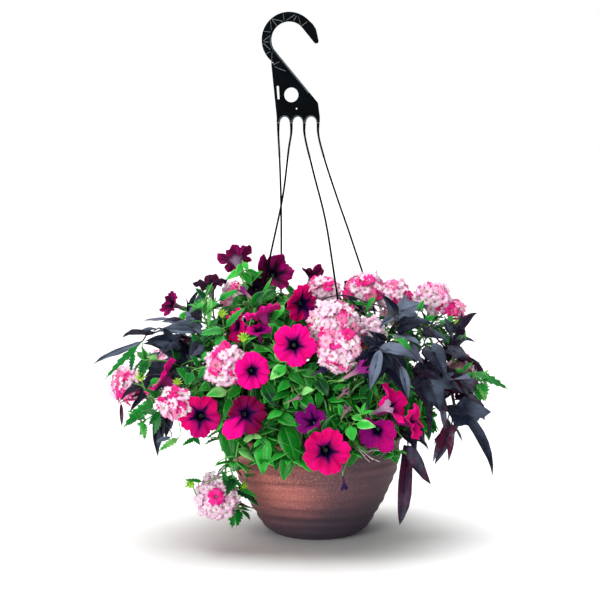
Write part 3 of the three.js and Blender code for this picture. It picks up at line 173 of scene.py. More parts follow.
# Verbena heads: number, plant, middle of the head, way it faces, radius, how far round its florets go and how
# many of them are still deep pink.
HEADS = [
    (1, "left", (-124, -159, 260), (-0.15, -1, 0.15), 29, "half", 0.2),
    (2, "centre", (28, -160, 282), (0.1, -1, 0.05), 31, "half", 0.24),
    (2, "centre", (25, -130, 313), (0, -0.8, 0.6), 34, "half", 0.24),
    (3, "centre", (11, -10, 345), (0, -0.5, 0.85), 25, "half", 0.46),
    (4, "right", (70, -4, 346), (-0.1, -0.5, 0.85), 30, "half", 0.36),
    (4, "right", (112, 1, 337), (0.2, -0.5, 0.85), 28, "half", 0.36),
    (5, "right", (171, 18, 333), (0.2, -0.6, 0.75), 28, "half", 0.26),
    (5, "right", (202, 19, 318), (0.85, -0.2, 0.45), 16, "small", 0.7),
    (6, "left", (-267, -64, 220), (-0.65, -0.75, 0.05), 25, "half", 0.28),
    (7, "left", (-195, -152, 206), (-0.4, -0.9, 0.05), 23, "small", 0.36),
    (8, "left", (-140, -116, 69), (-0.35, -0.95, 0), 31, "round", -0.6),
    (9, "left", (-118, 26, 336), (-0.5, -0.2, 0.8), 22, "small", 0.5),
    (10, "right", (76, -80, 298), (0.2, -0.85, 0.5), 19, "small", 0.15),
    (11, "back", (122, 112, 304), (0.5, 0.6, 0.6), 28, "small", 0.3),
    (12, "back", (-128, 120, 262), (-0.5, 0.75, 0.4), 28, "small", 0.3),
    (13, "left", (-222, 62, 232), (-0.9, 0.3, 0.2), 26, "small", 0.3),
    (14, "right", (218, 92, 218), (0.9, 0.4, 0.2), 27, "small", 0.3),
]
LOWEST_FLORET = {"small": -0.1, "half": -0.15, "round": -0.6}
# Ways of the stems that don't run straight to their flower
ROUTES = {"verbena_head_08": [(-96, -78, 178), (-121, -97, 158), (-128, -98, 104)]}

# Leafy shoots without a flower: waypoints from above the crown to the tip.
SHOOTS = {
    "petunia_plant_front_left": [
        ((-92, -128, 182), (-106, -160, 158), (-112, -168, 128)),
        ((-74, -118, 188), (-70, -158, 168), (-72, -168, 132)), ((-60, -110, 210), (-58, -150, 228)),
    ],
    "petunia_plant_front_centre": [
        ((-24, -120, 190), (-34, -158, 172), (-36, -170, 132)), ((2, -128, 205), (4, -156, 232)),
        ((-44, -116, 220), (-52, -150, 262)),
    ],
    "petunia_plant_front_right": [
        ((46, -122, 186), (44, -156, 172), (46, -168, 142)), ((48, -110, 205), (46, -152, 214)),
        ((92, -108, 182), (104, -148, 160), (108, -158, 140)),
    ],
    "petunia_plant_back_left": [
        ((-40, 118, 190), (-44, 160, 172), (-46, 168, 140)),
        ((-110, 96, 190), (-132, 118, 160), (-136, 122, 135)),
    ],
    "petunia_plant_back_right": [
        ((70, 116, 188), (82, 150, 168), (88, 156, 136)), ((100, 92, 200), (126, 110, 226)),
    ],
    "verbena_plant_left": [
        ((-150, -90, 205), (-208, -132, 196), (-240, -146, 180)),
        ((-122, -104, 176), (-122, -138, 130), (-112, -130, 84), (-108, -122, 52)),
        ((-140, -70, 260), (-160, -90, 330)), ((-152, -66, 222), (-206, -104, 258), (-238, -118, 262)),
    ],
    "verbena_plant_right": [
        ((140, -10, 220), (200, -6, 224), (240, -8, 216)), ((120, 10, 260), (168, 0, 292), (205, 6, 296)),
    ],
    "verbena_plant_back": [
        ((-90, 128, 190), (-168, 142, 214), (-190, 140, 216)),
        ((40, 128, 200), (118, 160, 232), (130, 168, 236)),
    ],
}

# Stems of the vines: waypoints from above the crown.
VINES = {
    "vine_left": [
        ((-118, 6, 225), (-160, -18, 282), (-205, -18, 296), (-236, -20, 288)),
        ((-132, -28, 205), (-180, -66, 246), (-212, -76, 216), (-222, -66, 180)),
        ((-134, 60, 208), (-176, 94, 250), (-204, 108, 214)),
    ],
    "vine_right_upper": [
        ((100, -6, 240), (112, -52, 304), (150, -56, 302), (186, -30, 268)),
        ((132, 56, 230), (172, 74, 262), (206, 70, 236)),
    ],
    "vine_right_front": [
        ((98, -84, 218), (98, -122, 262), (88, -140, 280)),
        ((112, -96, 172), (126, -134, 160), (125, -145, 150)),
    ],
    "vine_right_side": [
        ((148, -36, 214), (186, -52, 222), (196, -52, 190)),
    ],
    "vine_back": [
        ((22, 96, 230), (52, 132, 300), (34, 150, 322)),
        ((-20, 118, 198), (-48, 172, 250), (-76, 190, 262)),
    ],
}

# Vine leaves: kind, where the blade starts, its tip, its width, the way its face looks and how red it is, or
# below zero how much painted sheen makes it pale.
VINE_LEAVES = {
    "vine_left": [
        ("lance", (-252, -22, 276), (-320, -40, 245), 15, (-0.2, -0.5, 0.9), -0.5),
        ("lance", (-232, -24, 292), (-276, -56, 286), 18, (0, -0.5, 0.9), 0),
        ("heart", (-165, -52, 296), (-228, -68, 300), 30, (0, -0.6, 0.8), -0.75),
        ("heart", (-182, -82, 264), (-242, -96, 284), 44, (0, -0.75, 0.6), -0.4),
        ("star", (-190, -92, 252), (-255, -98, 200), 66, (-0.3, -0.8, 0.5), -0.5),
        ("lance", (-168, -14, 298), (-170, -6, 348), 20, (-0.5, -0.8, 0.1), -0.8),
        ("lance", (-210, 2, 304), (-252, 4, 306), 9, (0, -0.4, 0.9), 0.5),
        ("lance", (-222, -62, 176), (-225, -76, 126), 15, (0.1, -1, 0), 0.1),
        ("lance", (-212, -72, 186), (-212, -80, 146), 13, (0.3, -1, 0), 0.1),
        ("lance", (-238, -50, 190), (-268, -42, 158), 12, (-0.3, -0.9, 0.2), 0),
        ("star", (-186, 104, 254), (-244, 130, 212), 70, (-0.6, 0.5, 0.7), 0),
        ("star", (-208, 114, 204), (-230, 128, 136), 66, (-0.7, 0.6, 0.2), 0.2),
    ],
    "vine_right_upper": [
        ("star", (112, -58, 320), (160, -50, 331), 58, (0, -0.45, 0.9), -0.6),
        ("heart", (116, -72, 306), (164, -84, 309), 34, (0.1, -0.7, 0.7), -0.3),
        ("heart", (116, -72, 294), (146, -116, 278), 24, (0.2, -0.6, 0.8), -0.9),
        ("star", (186, -28, 272), (216, -34, 252), 48, (0.3, -0.8, 0.5), 0.1),
        ("star", (196, 76, 246), (262, 88, 196), 74, (0.7, 0.3, 0.6), 0),
        ("heart", (168, 72, 272), (214, 62, 308), 36, (0.2, -0.2, 0.9), 0),
    ],
    "vine_right_front": [
        ("star", (86, -152, 286), (72, -180, 232), 58, (0.1, -0.95, 0.3), -0.15),
        ("heart", (98, -144, 268), (126, -166, 214), 38, (0.3, -0.9, 0.3), -0.2),
        ("tri", (125, -152, 148), (115, -176, 42), 66, (0.1, -1, 0.1), 0.45),
        ("lance", (128, -138, 182), (150, -140, 150), 16, (0.2, -1, 0.1), 0.2),
    ],
    "vine_right_side": [
        ("heart", (160, -84, 276), (182, -104, 232), 34, (0.2, -0.9, 0.35), -0.55),
        ("star", (154, -98, 238), (172, -128, 192), 60, (0.2, -0.9, 0.4), -0.35),
        ("tail", (196, -84, 194), (246, -112, 98), 66, (0.2, -0.95, 0.3), -0.4),
        ("star", (204, -34, 226), (224, -42, 188), 50, (0.5, -0.8, 0.3), 0.7),
        ("star", (192, -62, 160), (168, -80, 108), 30, (0.1, -1, 0.2), 0.7),
    ],
    "vine_back": [
        ("star", (34, 150, 324), (-26, 168, 296), 70, (0, 0.8, 0.6), 0),
        ("star", (52, 140, 300), (98, 176, 300), 64, (0.3, 0.8, 0.5), 0.1),
        ("heart", (-80, 194, 258), (-98, 206, 198), 40, (-0.2, 0.95, 0.2), 0),
        ("star", (-48, 176, 252), (-16, 206, 210), 62, (0, 0.95, 0.3), 0),
    ],
}

# Single leaves that the photo shows, by plant and kind: where the blade starts and its tip as pixels of the
# photo, width in pixels, depth of both ends in mm and how light the leaf is. A vine's leaf is as red as the
# number, or pale below zero.
# How light a simple leaf is gives its tone together with painted light and shade; a vine leaf's paleness is
# painted sheen.
SEEN_LEAVES = [
    # Front, over the lip
    ("petunia_plant_front_left", "ovate", [
        ((228, 391), (206, 396), 13, -165, -178, 0.95), ((231, 399), (224, 419), 8, -165, -175, 0.3),
        ((226, 426), (232, 462), 19, -150, -160, 0.38),
    ]),
    ("verbena_plant_left", "toothed", [((237, 447), (257, 462), 13, -140, -158, 0.62)]),
    ("petunia_plant_front_centre", "ovate", [
        ((262, 434), (263, 475), 18, -165, -172, 0.55), ((260, 435), (276, 452), 14, -160, -168, 0.42),
        ((275, 447), (276, 471), 12, -160, -166, 0.3), ((290, 452), (283, 481), 15, -165, -172, 0.52),
        ((283, 424), (297, 466), 21, -165, -176, 0.36), ((297, 452), (311, 472), 14, -160, -170, 0.66),
        ((278, 422), (251, 437), 15, -160, -172, 0.22), ((254, 434), (242, 445), 8, -170, -180, 1.0),
        ((252, 436), (262, 438), 6, -170, -180, 1.0), ((277, 416), (297, 426), 14, -165, -178, 0.58),
        ((283, 411), (267, 419), 10, -165, -178, 0.85), ((263, 384), (275, 406), 14, -160, -172, 0.12),
        ((291, 391), (271, 401), 10, -160, -174, 0.5),
    ]),
    ("petunia_plant_front_left", "ovate", [((241, 387), (227, 399), 9, -165, -176, 0.42)]),
    ("petunia_plant_front_centre", "ovate", [
        ((299, 394), (315, 411), 13, -165, -178, 0.4), ((301, 393), (314, 390), 10, -170, -180, 1.0),
        ((319, 391), (318, 409), 8, -165, -175, 0.3), ((317, 378), (328, 396), 13, -160, -172, 0.16),
    ]),
    ("petunia_plant_front_right", "ovate", [
        ((329, 402), (340, 432), 18, -155, -172, 0.28), ((329, 400), (345, 401), 8, -160, -174, 0.52),
        ((357, 417), (344, 400), 12, -165, -178, 0.58), ((356, 424), (376, 427), 10, -195, -212, 0.78),
        ((350, 426), (353, 441), 12, -180, -192, 0.8), ((353, 438), (350, 467), 18, -160, -166, 0.42),
        ((387, 441), (397, 464), 11, -145, -152, 0.42), ((383, 448), (372, 457), 8, -150, -160, 0.3),
        ((385, 429), (397, 441), 10, -140, -148, 0.15), ((347, 385), (333, 390), 6, -165, -175, 0.55),
    ]),
    ("petunia_plant_front_right", "lance", [
        ((361, 414), (366, 402), 3.5, -190, -200, 0.7), ((361, 414), (376, 411), 3.5, -190, -205, 0.6),
        ((361, 414), (355, 405), 3, -190, -200, 0.8),
    ]),
    ("petunia_plant_front_centre", "ovate", [
        ((286, 365), (270, 380), 13, -165, -176, 0.86), ((289, 372), (304, 386), 12, -160, -172, 0.45),
        ((291, 380), (277, 392), 10, -160, -172, 0.62), ((300, 371), (318, 377), 11, -160, -172, 0.25),
        ((293, 392), (296, 410), 9, -165, -175, 0.72), ((305, 412), (296, 428), 10, -165, -172, 0.3),
        ((262, 420), (256, 436), 13, -160, -168, 0.3),
    ]),
    ("petunia_plant_front_left", "ovate", [
        ((246, 440), (236, 458), 12, -150, -158, 0.25), ((222, 420), (216, 432), 8, -165, -172, 0.75),
    ]),
    ("petunia_plant_front_right", "ovate", [
        ((336, 414), (324, 424), 10, -160, -172, 0.5), ((345, 416), (338, 404), 9, -170, -180, 0.66),
        ((352, 416), (363, 421), 8, -175, -188, 0.85),
    ]),
    # Middle
    ("petunia_plant_top", "ovate", [
        ((271, 345), (242, 338), 12, -120, -128, 0.05), ((272, 350), (249, 352), 7, -130, -140, 0.75),
        ((271, 336), (254, 336), 6, -130, -140, 0.85), ((284, 305), (273, 321), 12, -105, -118, 0.85),
        ((276, 291), (261, 301), 11, -80, -92, 0.25), ((262, 301), (277, 286), 13, -60, -64, 0.12),
        ((246, 284), (263, 271), 11, -40, -44, 0.5), ((246, 284), (240, 294), 10, -45, -60, 0.82),
        ((243, 270), (226, 280), 9, -40, -50, 0.62), ((244, 272), (252, 286), 9, -45, -55, 0.42),
        ((245, 270), (262, 278), 8, -40, -46, 0.3), ((242, 264), (236, 274), 7, -45, -55, 0.66),
        ((243, 262), (248, 271), 7, -45, -52, 0.75),
    ]),
    ("petunia_plant_top", "lance", [((262, 296), (272, 277), 4, -60, -64, 0.8)]),
    ("petunia_plant_top", "ovate", [
        ((278, 332), (268, 324), 9, -125, -135, 0.7), ((276, 340), (280, 326), 9, -125, -132, 0.6),
        ((300, 300), (289, 292), 9, -70, -80, 0.2),
    ]),
    # Left
    ("verbena_plant_left", "toothed", [
        ((224, 331), (200, 335), 14, -112, -128, 0.62), ((224, 336), (215, 349), 12, -118, -132, 0.55),
        ((218, 301), (240, 290), 10, -50, -60, 0.5), ((225, 328), (246, 307), 9, -112, -118, 0.55),
        ((212, 284), (206, 297), 8, -40, -52, 0.66),
    ]),
    ("verbena_plant_left", "lance", [((211, 296), (209, 328), 6, -92, -100, 0.9)]),
    ("verbena_plant_left", "toothed", [
        ((207, 300), (195, 288), 8, -60, -66, 0.3), ((203, 299), (192, 311), 7, -60, -70, 0.72),
    ]),
    ("petunia_plant_front_left", "ovate", [((214, 383), (199, 391), 11, -150, -162, 0.4)]),
    ("verbena_plant_left", "toothed", [
        ((190, 382), (176, 368), 14, -145, -150, 0.5), ((192, 372), (186, 386), 12, -145, -155, 0.35),
        ((150, 385), (161, 379), 9, -150, -156, 0.6), ((158, 398), (143, 389), 9, -150, -158, 0.3),
        ((156, 401), (124, 427), 15, -140, -152, 0.36), ((160, 411), (149, 425), 9, -140, -150, 0.4),
        ((141, 343), (105, 379), 8, -118, -132, 0.45), ((134, 352), (131, 372), 7, -124, -134, 0.3),
        ((179, 438), (159, 451), 8, -150, -160, 0.86), ((197, 438), (182, 446), 7, -155, -165, 0.5),
        ((193, 436), (200, 445), 7, -155, -165, 0.4), ((201, 360), (212, 352), 9, -130, -138, 0.72),
        ((200, 366), (190, 356), 9, -130, -138, 0.5), ((202, 372), (213, 368), 9, -132, -142, 0.6),
        ((201, 378), (192, 384), 8, -135, -145, 0.35), ((206, 366), (198, 379), 8, -132, -142, 0.7),
        ((226, 436), (222, 452), 8, -150, -152, 0.3), ((224, 448), (236, 459), 9, -142, -150, 0.4),
        ((224, 466), (242, 466), 9, -130, -140, 0.42), ((226, 476), (242, 486), 10, -130, -140, 0.36),
        ((238, 488), (258, 498), 7, -128, -136, 0.62), ((236, 500), (232, 528), 13, -128, -132, 0.42),
        ((203, 482), (184, 480), 5, -132, -140, 0.6), ((228, 488), (222, 470), 8, -130, -132, 0.3),
    ]),
    # Right
    ("verbena_plant_right", "toothed", [
        ((464, 372), (480, 388), 12, -10, -22, 0.6), ((470, 372), (509, 390), 13, -10, -20, 0.45),
        ((474, 388), (481, 402), 8, -12, -20, 0.6), ((466, 384), (474, 372), 10, -14, -20, 0.72),
        ((452, 315), (447, 327), 7, -20, -28, 0.6), ((438, 322), (452, 324), 8, -20, -28, 0.72),
    ]),
    ("verbena_plant_right", "lance", [((446, 326), (458, 336), 3, -20, -28, 0.7)]),
    ("verbena_plant_right", "toothed", [
        ((424, 322), (436, 316), 8, -60, -66, 0.75), ((418, 312), (424, 300), 7, -60, -64, 0.7),
        ((442, 334), (450, 344), 8, -30, -36, 0.35), ((375, 296), (366, 312), 8, -40, -50, 0.72),
        ((368, 312), (378, 326), 9, -60, -70, 0.5), ((398, 338), (411, 350), 9, -95, -102, 0.7),
    ]),
    ("verbena_plant_centre", "toothed", [
        ((346, 302), (372, 306), 5, -30, -36, 0.5), ((301, 292), (309, 301), 8, -60, -68, 0.5),
        ((357, 346), (362, 356), 7, -130, -136, 0.3),
    ]),
    # Vines
    ("vine_left", "lance", [
        ((138, 332), (158, 329), 5, -30, -36, 0.0), ((196, 333), (157, 329), 9, -72, -78, -0.6),
    ]),
    ("vine_left", "star", [((178, 342), (146, 340), 26, -90, -96, -0.3)]),
    ("vine_left", "lance", [((186, 325), (162, 320), 11, -10, -16, 0.3)]),
    ("vine_left", "star", [((186, 318), (202, 316), 24, -20, -30, -0.9)]),
    ("vine_left", "lance", [
        ((188, 316), (186, 298), 3, -10, -12, 0.3), ((190, 314), (198, 288), 7, -12, -14, 0.0),
        ((121, 404), (122, 427), 4, -100, -104, 1.0), ((155, 416), (158, 457), 8, -95, -104, 0.0),
        ((162, 416), (162, 439), 6, -95, -100, 0.2), ((171, 414), (171, 430), 5, -120, -126, 0.2),
        ((170, 437), (156, 442), 5, -120, -124, 0.0), ((146, 392), (130, 412), 6, -120, -128, 0.1),
        ((190, 340), (175, 334), 5, -60, -66, 0.8), ((193, 338), (182, 343), 5, -70, -76, 0.9),
    ]),
    ("vine_left", "heart", [((200, 345), (186, 362), 16, -100, -108, 0.1)]),
    ("vine_left", "lance", [((160, 352), (134, 368), 6, -100, -108, 0.0)]),
    ("vine_right_front", "arm", [((379, 348), (418, 361), 17, -160, -170, -0.7)]),
    ("vine_right_front", "lance", [
        ((380, 351), (370, 389), 12, -166, -190, -0.85), ((376, 351), (364, 378), 9, -154, -166, -0.2),
    ]),
    ("vine_right_front", "star", [((381, 348), (360, 336), 28, -156, -158, -0.05)]),
    ("vine_right_front", "heart", [
        ((384, 342), (368, 330), 12, -128, -130, 0.1), ((381, 378), (364, 402), 24, -120, -128, -0.1),
    ]),
    ("vine_right_front", "lance", [((401, 366), (409, 399), 9, -168, -178, -0.6)]),
    ("vine_right_side", "heart", [((406, 350), (424, 362), 22, -100, -108, 0.2)]),
    ("vine_right_side", "star", [((418, 366), (438, 378), 30, -96, -104, 0.2)]),
    ("vine_right_side", "heart", [((414, 380), (432, 412), 22, -110, -118, 0.1)]),
    ("vine_right_side", "lance", [((424, 404), (431, 438), 8, -110, -116, 0.2)]),
    ("vine_right_side", "star", [((448, 350), (472, 358), 26, -40, -46, 0.3)]),
    ("vine_right_side", "heart", [((460, 384), (478, 408), 16, -40, -46, -0.6)]),
    ("vine_right_side", "star", [((448, 380), (462, 394), 26, -60, -66, 0.9)]),
    ("vine_right_side", "lance", [
        ((446, 424), (433, 462), 7, -84, -90, 1.4), ((444, 432), (434, 444), 4, -84, -88, 1.2),
        ((452, 424), (449, 462), 7, -86, -90, 1.1), ((455, 428), (463, 441), 3, -84, -86, 0.6),
        ((440, 398), (446, 432), 7, -80, -84, 0.5),
    ]),
    ("vine_right_side", "star", [((430, 392), (448, 412), 28, -90, -96, 0.3)]),
    ("vine_right_upper", "lance", [((347, 297), (364, 310), 9, -20, -26, 0.0)]),
    ("vine_right_upper", "heart", [
        ((392, 318), (378, 328), 10, -90, -96, -0.5), ((424, 330), (450, 342), 12, -40, -46, -0.4),
        ((396, 312), (379, 293), 14, -66, -70, -0.3),
    ]),
]

# Outlines of the lobed leaves, one half from the base to the tip. Each row is along the midrib, out from it
# in parts of the half width, and whether that corner is a sharp tip.
LOBES = {
    "lance": [
        (0, 0.1, 0), (0.06, 0.5, 0), (0.22, 0.86, 0), (0.5, 1, 0), (0.78, 0.55, 0), (0.93, 0.18, 0),
        (1, 0, 1),
    ],
    "heart": [
        (0, 0.04, 0), (-0.07, 0.34, 0), (-0.03, 0.72, 0), (0.12, 1, 0), (0.32, 0.86, 0), (0.58, 0.5, 0),
        (0.82, 0.19, 0), (1, 0, 1),
    ],
    "star": [
        (0, 0.05, 0), (-0.08, 0.3, 0), (-0.12, 0.62, 1), (0.02, 0.64, 0), (0.15, 0.56, 0), (0.30, 0.80, 0),
        (0.48, 1, 1), (0.50, 0.76, 0), (0.48, 0.50, 0), (0.60, 0.44, 0), (0.76, 0.30, 0), (0.91, 0.11, 0),
        (1, 0, 1),
    ],
    "tri": [
        (0, 0.06, 0), (0.0, 0.26, 0), (0.2, 0.66, 0), (0.46, 1, 1), (0.38, 0.58, 0), (0.27, 0.2, 0),
        (0.45, 0.24, 0), (0.66, 0.27, 0), (0.85, 0.17, 0), (1, 0, 1),
    ],
    "tail": [
        (0, 0.06, 0), (-0.03, 0.3, 0), (-0.02, 0.6, 0), (0.28, 1, 1), (0.3, 0.6, 0), (0.3, 0.24, 0),
        (0.5, 0.25, 0), (0.7, 0.2, 0), (0.88, 0.1, 0), (1, 0, 1),
    ],
    "arm": [
        (0, 0.35, 0), (0.06, 0.8, 0), (0.2, 1.2, 0), (0.38, 1.28, 0), (0.6, 0.82, 0), (0.82, 0.34, 0),
        (1, 0, 1),
    ],
}
# The left halves of the leaves whose two halves differ
LEFT_HALVES = {
    "tri": [
        (0, 0.06, 0), (0.0, 0.2, 0), (0.2, 0.3, 0), (0.45, 0.34, 0), (0.66, 0.3, 0), (0.85, 0.18, 0),
        (1, 0, 1),
    ],
    "tail": [
        (0, 0.06, 0), (-0.03, 0.25, 0), (-0.02, 0.45, 0), (0.24, 0.7, 1), (0.28, 0.42, 0), (0.3, 0.22, 0),
        (0.5, 0.2, 0), (0.7, 0.16, 0), (0.88, 0.08, 0), (1, 0, 1),
    ],
    "arm": [(0, 0.3, 0), (0.1, 0.36, 0), (0.3, 0.42, 0), (0.6, 0.34, 0), (0.82, 0.16, 0), (1, 0, 1)],
}
# How far a leaf bows to its right in parts of its length
BOW = {"tail": 0.09}

FLORET_SIZE = 10.4

# Places of the materials in their pieces, the front of a sheet before its back
LEAF_SLOTS = (0, 1)
PETAL_SLOTS = (1, 0)
FLORET_SLOTS = (0, 0)
ANTHER_SLOT = 2
CORE_SLOT = 1
STEM_SLOT = 2
BUD_SLOT = 3
STRAW_SLOT = 8
RIDGE_HIGHLIGHT_SLOT = 1

# First seeds of the random draws
SEEDS = {
    "petunias": 100,
    "heads": 300,
    "shoots": 500,
    "vine leaves": 1700,
    "further vine leaves": 1900,
    "seen leaves": 2000,
    "buds": 2300,
    "faded blooms": 2500,
    "filaments": 2600,
    "inner leaves": 3000,
    "crowded places": 4000,
}

# Flowers further back than this have fewer faces.
FAR_SIDE = 60


def unit(row):
    row = np.asarray(row, float)
    return row / max(np.linalg.norm(row), 1e-9)


def seen(px, py, depth):
    """The place at a depth that the photo shows at a pixel."""
    focal = DISTANCE / PIXEL
    ahead = np.array([0, math.cos(PITCH), -math.sin(PITCH)])
    up = np.array([0, math.sin(PITCH), math.cos(PITCH)])
    ray = ahead + up * (PHOTO_MIDDLE - py) / focal + np.array([(px - PHOTO_MIDDLE) / focal, 0, 0])
    return EYE + ray * (depth - EYE[1]) / ray[1]


def across(axis, roll):
    """Two directions across an axis, the first turned by a roll."""
    hint = np.array([0.0, 1, 0]) if abs(axis[2]) > 0.9 else np.array([0.0, 0, 1])
    first = unit(hint - axis * hint.dot(axis))
    second = np.cross(axis, first)
    c, s = math.cos(roll), math.sin(roll)
    return first * c + second * s, second * c - first * s


def around(angle, first, second):
    """Ways at angles from a first direction towards a second."""
    angle = np.asarray(angle)[..., None]
    return np.cos(angle) * first + np.sin(angle) * second


def wave(place, count, draw):
    """A wave that starts at a random place."""
    return np.sin(count * place + draw.uniform(0, 6))


def in_threes(*values):
    """Three numbers for each point, from rows, columns and single numbers."""
    return np.stack(np.broadcast_arrays(*values), -1)


def smooth_path(points, spacing=PATH_STEP):
    """Points along a centripetal curve through the given ones, evenly spaced."""
    p = np.asarray(points, float)
    p = np.vstack([2 * p[0] - p[1], p, 2 * p[-1] - p[-2]])
    knots = np.concatenate([[0], np.cumsum(np.linalg.norm(np.diff(p, axis=0), axis=1) ** 0.5)])
    dense = []
    for i in range(1, len(p) - 2):
        t0, t1, t2, t3 = knots[i - 1 : i + 3]
        for t in np.linspace(t1, t2, 14, endpoint=False):
            a1 = (t1 - t) / (t1 - t0) * p[i - 1] + (t - t0) / (t1 - t0) * p[i]
            a2 = (t2 - t) / (t2 - t1) * p[i] + (t - t1) / (t2 - t1) * p[i + 1]
            a3 = (t3 - t) / (t3 - t2) * p[i + 1] + (t - t2) / (t3 - t2) * p[i + 2]
            b1 = (t2 - t) / (t2 - t0) * a1 + (t - t0) / (t2 - t0) * a2
            b2 = (t3 - t) / (t3 - t1) * a2 + (t - t1) / (t3 - t1) * a3
            dense.append((t2 - t) / (t2 - t1) * b1 + (t - t1) / (t2 - t1) * b2)
    dense = np.array(dense + [p[-2]])
    length = np.concatenate([[0], np.cumsum(np.linalg.norm(np.diff(dense, axis=0), axis=1))])
    count = max(3, int(length[-1] / spacing) + 1)
    wanted = np.linspace(0, length[-1], count)
    return np.stack([np.interp(wanted, length, dense[:, k]) for k in range(3)], 1)


EDGES = {}
GRIDS = {}


def open_edges(key, faces):
    """The edges of a sheet that only one face has, in the order of that face."""
    if key not in EDGES:
        edges = {}
        for face in (f for rows in faces for f in rows):
            for a, b in zip(face, np.roll(face, -1)):
                edges[(int(a), int(b))] = True
        EDGES[key] = np.array([(a, b) for a, b in edges if (b, a) not in edges])
    return EDGES[key]


def normals_of(points, faces):
    total = np.zeros_like(points)
    for rows in faces:
        a, b, c = points[rows[:, 0]], points[rows[:, 1]], points[rows[:, 2]]
        d = points[rows[:, -1]]
        n = np.cross(c - a, d - b) if rows.shape[1] == 4 else np.cross(b - a, c - a)
        for k in range(rows.shape[1]):
            np.add.at(total, rows[:, k], n)
    return total / np.maximum(np.linalg.norm(total, axis=1), 1e-12)[:, None]


def grid(rows, columns, wrap=False):
    """Four-sided faces of a grid of points, row by row."""
    key = (rows, columns, wrap)
    if key not in GRIDS:
        i, j = np.meshgrid(np.arange(rows - 1), np.arange(columns if wrap else columns - 1), indexing="ij")
        k = (j + 1) % columns
        quads = np.stack([i * columns + j, i * columns + k, (i + 1) * columns + k, (i + 1) * columns + j], -1)
        GRIDS[key] = quads.reshape(-1, 4)
    return GRIDS[key]


class Piece:
    """Collects the points and faces of one visible piece, with the numbers that its materials read."""

    def __init__(self):
        self.points, self.faces, self.form, self.more, self.slots = [], [], [], [], []
        self.count = 0

    def add(self, points, faces, slot, form=(0, 0, 0), more=(0, 0, 0)):
        points = np.reshape(points, (-1, 3))
        self.points.append(points)
        self.form.append(np.broadcast_to(np.reshape(form, (-1, 3)), points.shape))
        self.more.append(np.broadcast_to(np.reshape(more, (-1, 3)), points.shape))
        for rows in faces:
            self.faces.append(rows + self.count)
            self.slots.append(np.full(len(rows), slot))
        self.count += len(points)

    def sheet(self, key, points, faces, slots, thickness, form, more=(0, 0, 0)):
        """A thin sheet with a front, a back and an edge."""
        points = np.reshape(points, (-1, 3))
        normal = normals_of(points, faces)
        half = thickness / 2
        count = len(points)
        rim = open_edges(key, faces)
        start = self.count
        self.add(points + normal * half, faces, slots[0], form, more)
        self.add(points - normal * half, [rows[:, ::-1] for rows in faces], slots[1], form, more)
        edge = np.stack([rim[:, 1], rim[:, 0], rim[:, 0] + count, rim[:, 1] + count], 1)
        self.faces.append(edge + start)
        self.slots.append(np.full(len(edge), slots[0]))

    def tube(self, points, radii, sides, slot, tint=0.0, skip=1):
        """A round stem with closed ends. With skip, only every so many of its points are kept."""
        points = np.asarray(points, float)
        radii = np.broadcast_to(radii, (len(points),))
        kept = [*range(0, len(points) - 1, skip), len(points) - 1]
        points, radii = points[kept], radii[kept]
        way = np.gradient(points, axis=0)
        way /= np.maximum(np.linalg.norm(way, axis=1), 1e-9)[:, None]
        side = across(way[0], 0)[0]
        k = np.arange(sides)
        rings = []
        for p, d, r in zip(points, way, radii):
            side = unit(side - d * side.dot(d))
            rings.append(p + r * around(k * TURN / sides, side, np.cross(d, side)))
        body = np.concatenate(rings + [points[:1], points[-1:]])
        n = len(points)
        after = (k + 1) % sides
        low = np.stack([after, k, np.full(sides, n * sides)], 1)
        high = np.stack([(n - 1) * sides + k, (n - 1) * sides + after, np.full(sides, n * sides + 1)], 1)
        form = in_threes(np.linspace(0, 1, n)[:, None], k / sides, tint).reshape(-1, 3)
        form = np.vstack([form, [[0, 0, tint], [1, 0, tint]]])
        self.add(body, [grid(n, sides, True), low, high], slot, form)

    def blob(self, centre, axis, radii, slot, tint=0.0, rows=5, sides=7):
        """A small egg-shaped body."""
        turn = np.linspace(0.12, math.pi - 0.12, rows)
        points = centre - np.cos(turn)[:, None] * unit(axis) * radii[1]
        self.tube(points, np.sin(turn) * radii[0], sides, slot, tint)

    def make(self, name, materials, slot, node):
        mesh = bpy.data.meshes.new(name)
        points = np.concatenate(self.points)
        points[:, 2] += LIFT
        mesh.vertices.add(len(points))
        mesh.vertices.foreach_set("co", (points * MM).astype(np.float32).ravel())
        loops = np.concatenate([rows.ravel() for rows in self.faces]).astype(np.int32)
        sizes = np.concatenate([np.full(len(rows), rows.shape[1]) for rows in self.faces])
        starts = np.concatenate([[0], np.cumsum(sizes)[:-1]]).astype(np.int32)
        mesh.loops.add(len(loops))
        mesh.loops.foreach_set("vertex_index", loops)
        mesh.polygons.add(len(sizes))
        mesh.polygons.foreach_set("loop_start", starts)
        mesh.polygons.foreach_set("material_index", np.concatenate(self.slots).astype(np.int32))
        mesh.polygons.foreach_set("use_smooth", np.ones(len(sizes), bool))
        mesh.update(calc_edges=True)
        for key, rows in (("form", self.form), ("more", self.more)):
            layer = mesh.attributes.new(key, "FLOAT_VECTOR", "POINT")
            layer.data.foreach_set("vector", np.concatenate(rows).astype(np.float32).ravel())
        for material in materials:
            mesh.materials.append(material)
        made = bpy.data.objects.new(name, mesh)
        bpy.context.scene.collection.objects.link(made)
        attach(made, "root")
        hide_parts(node)
        return made


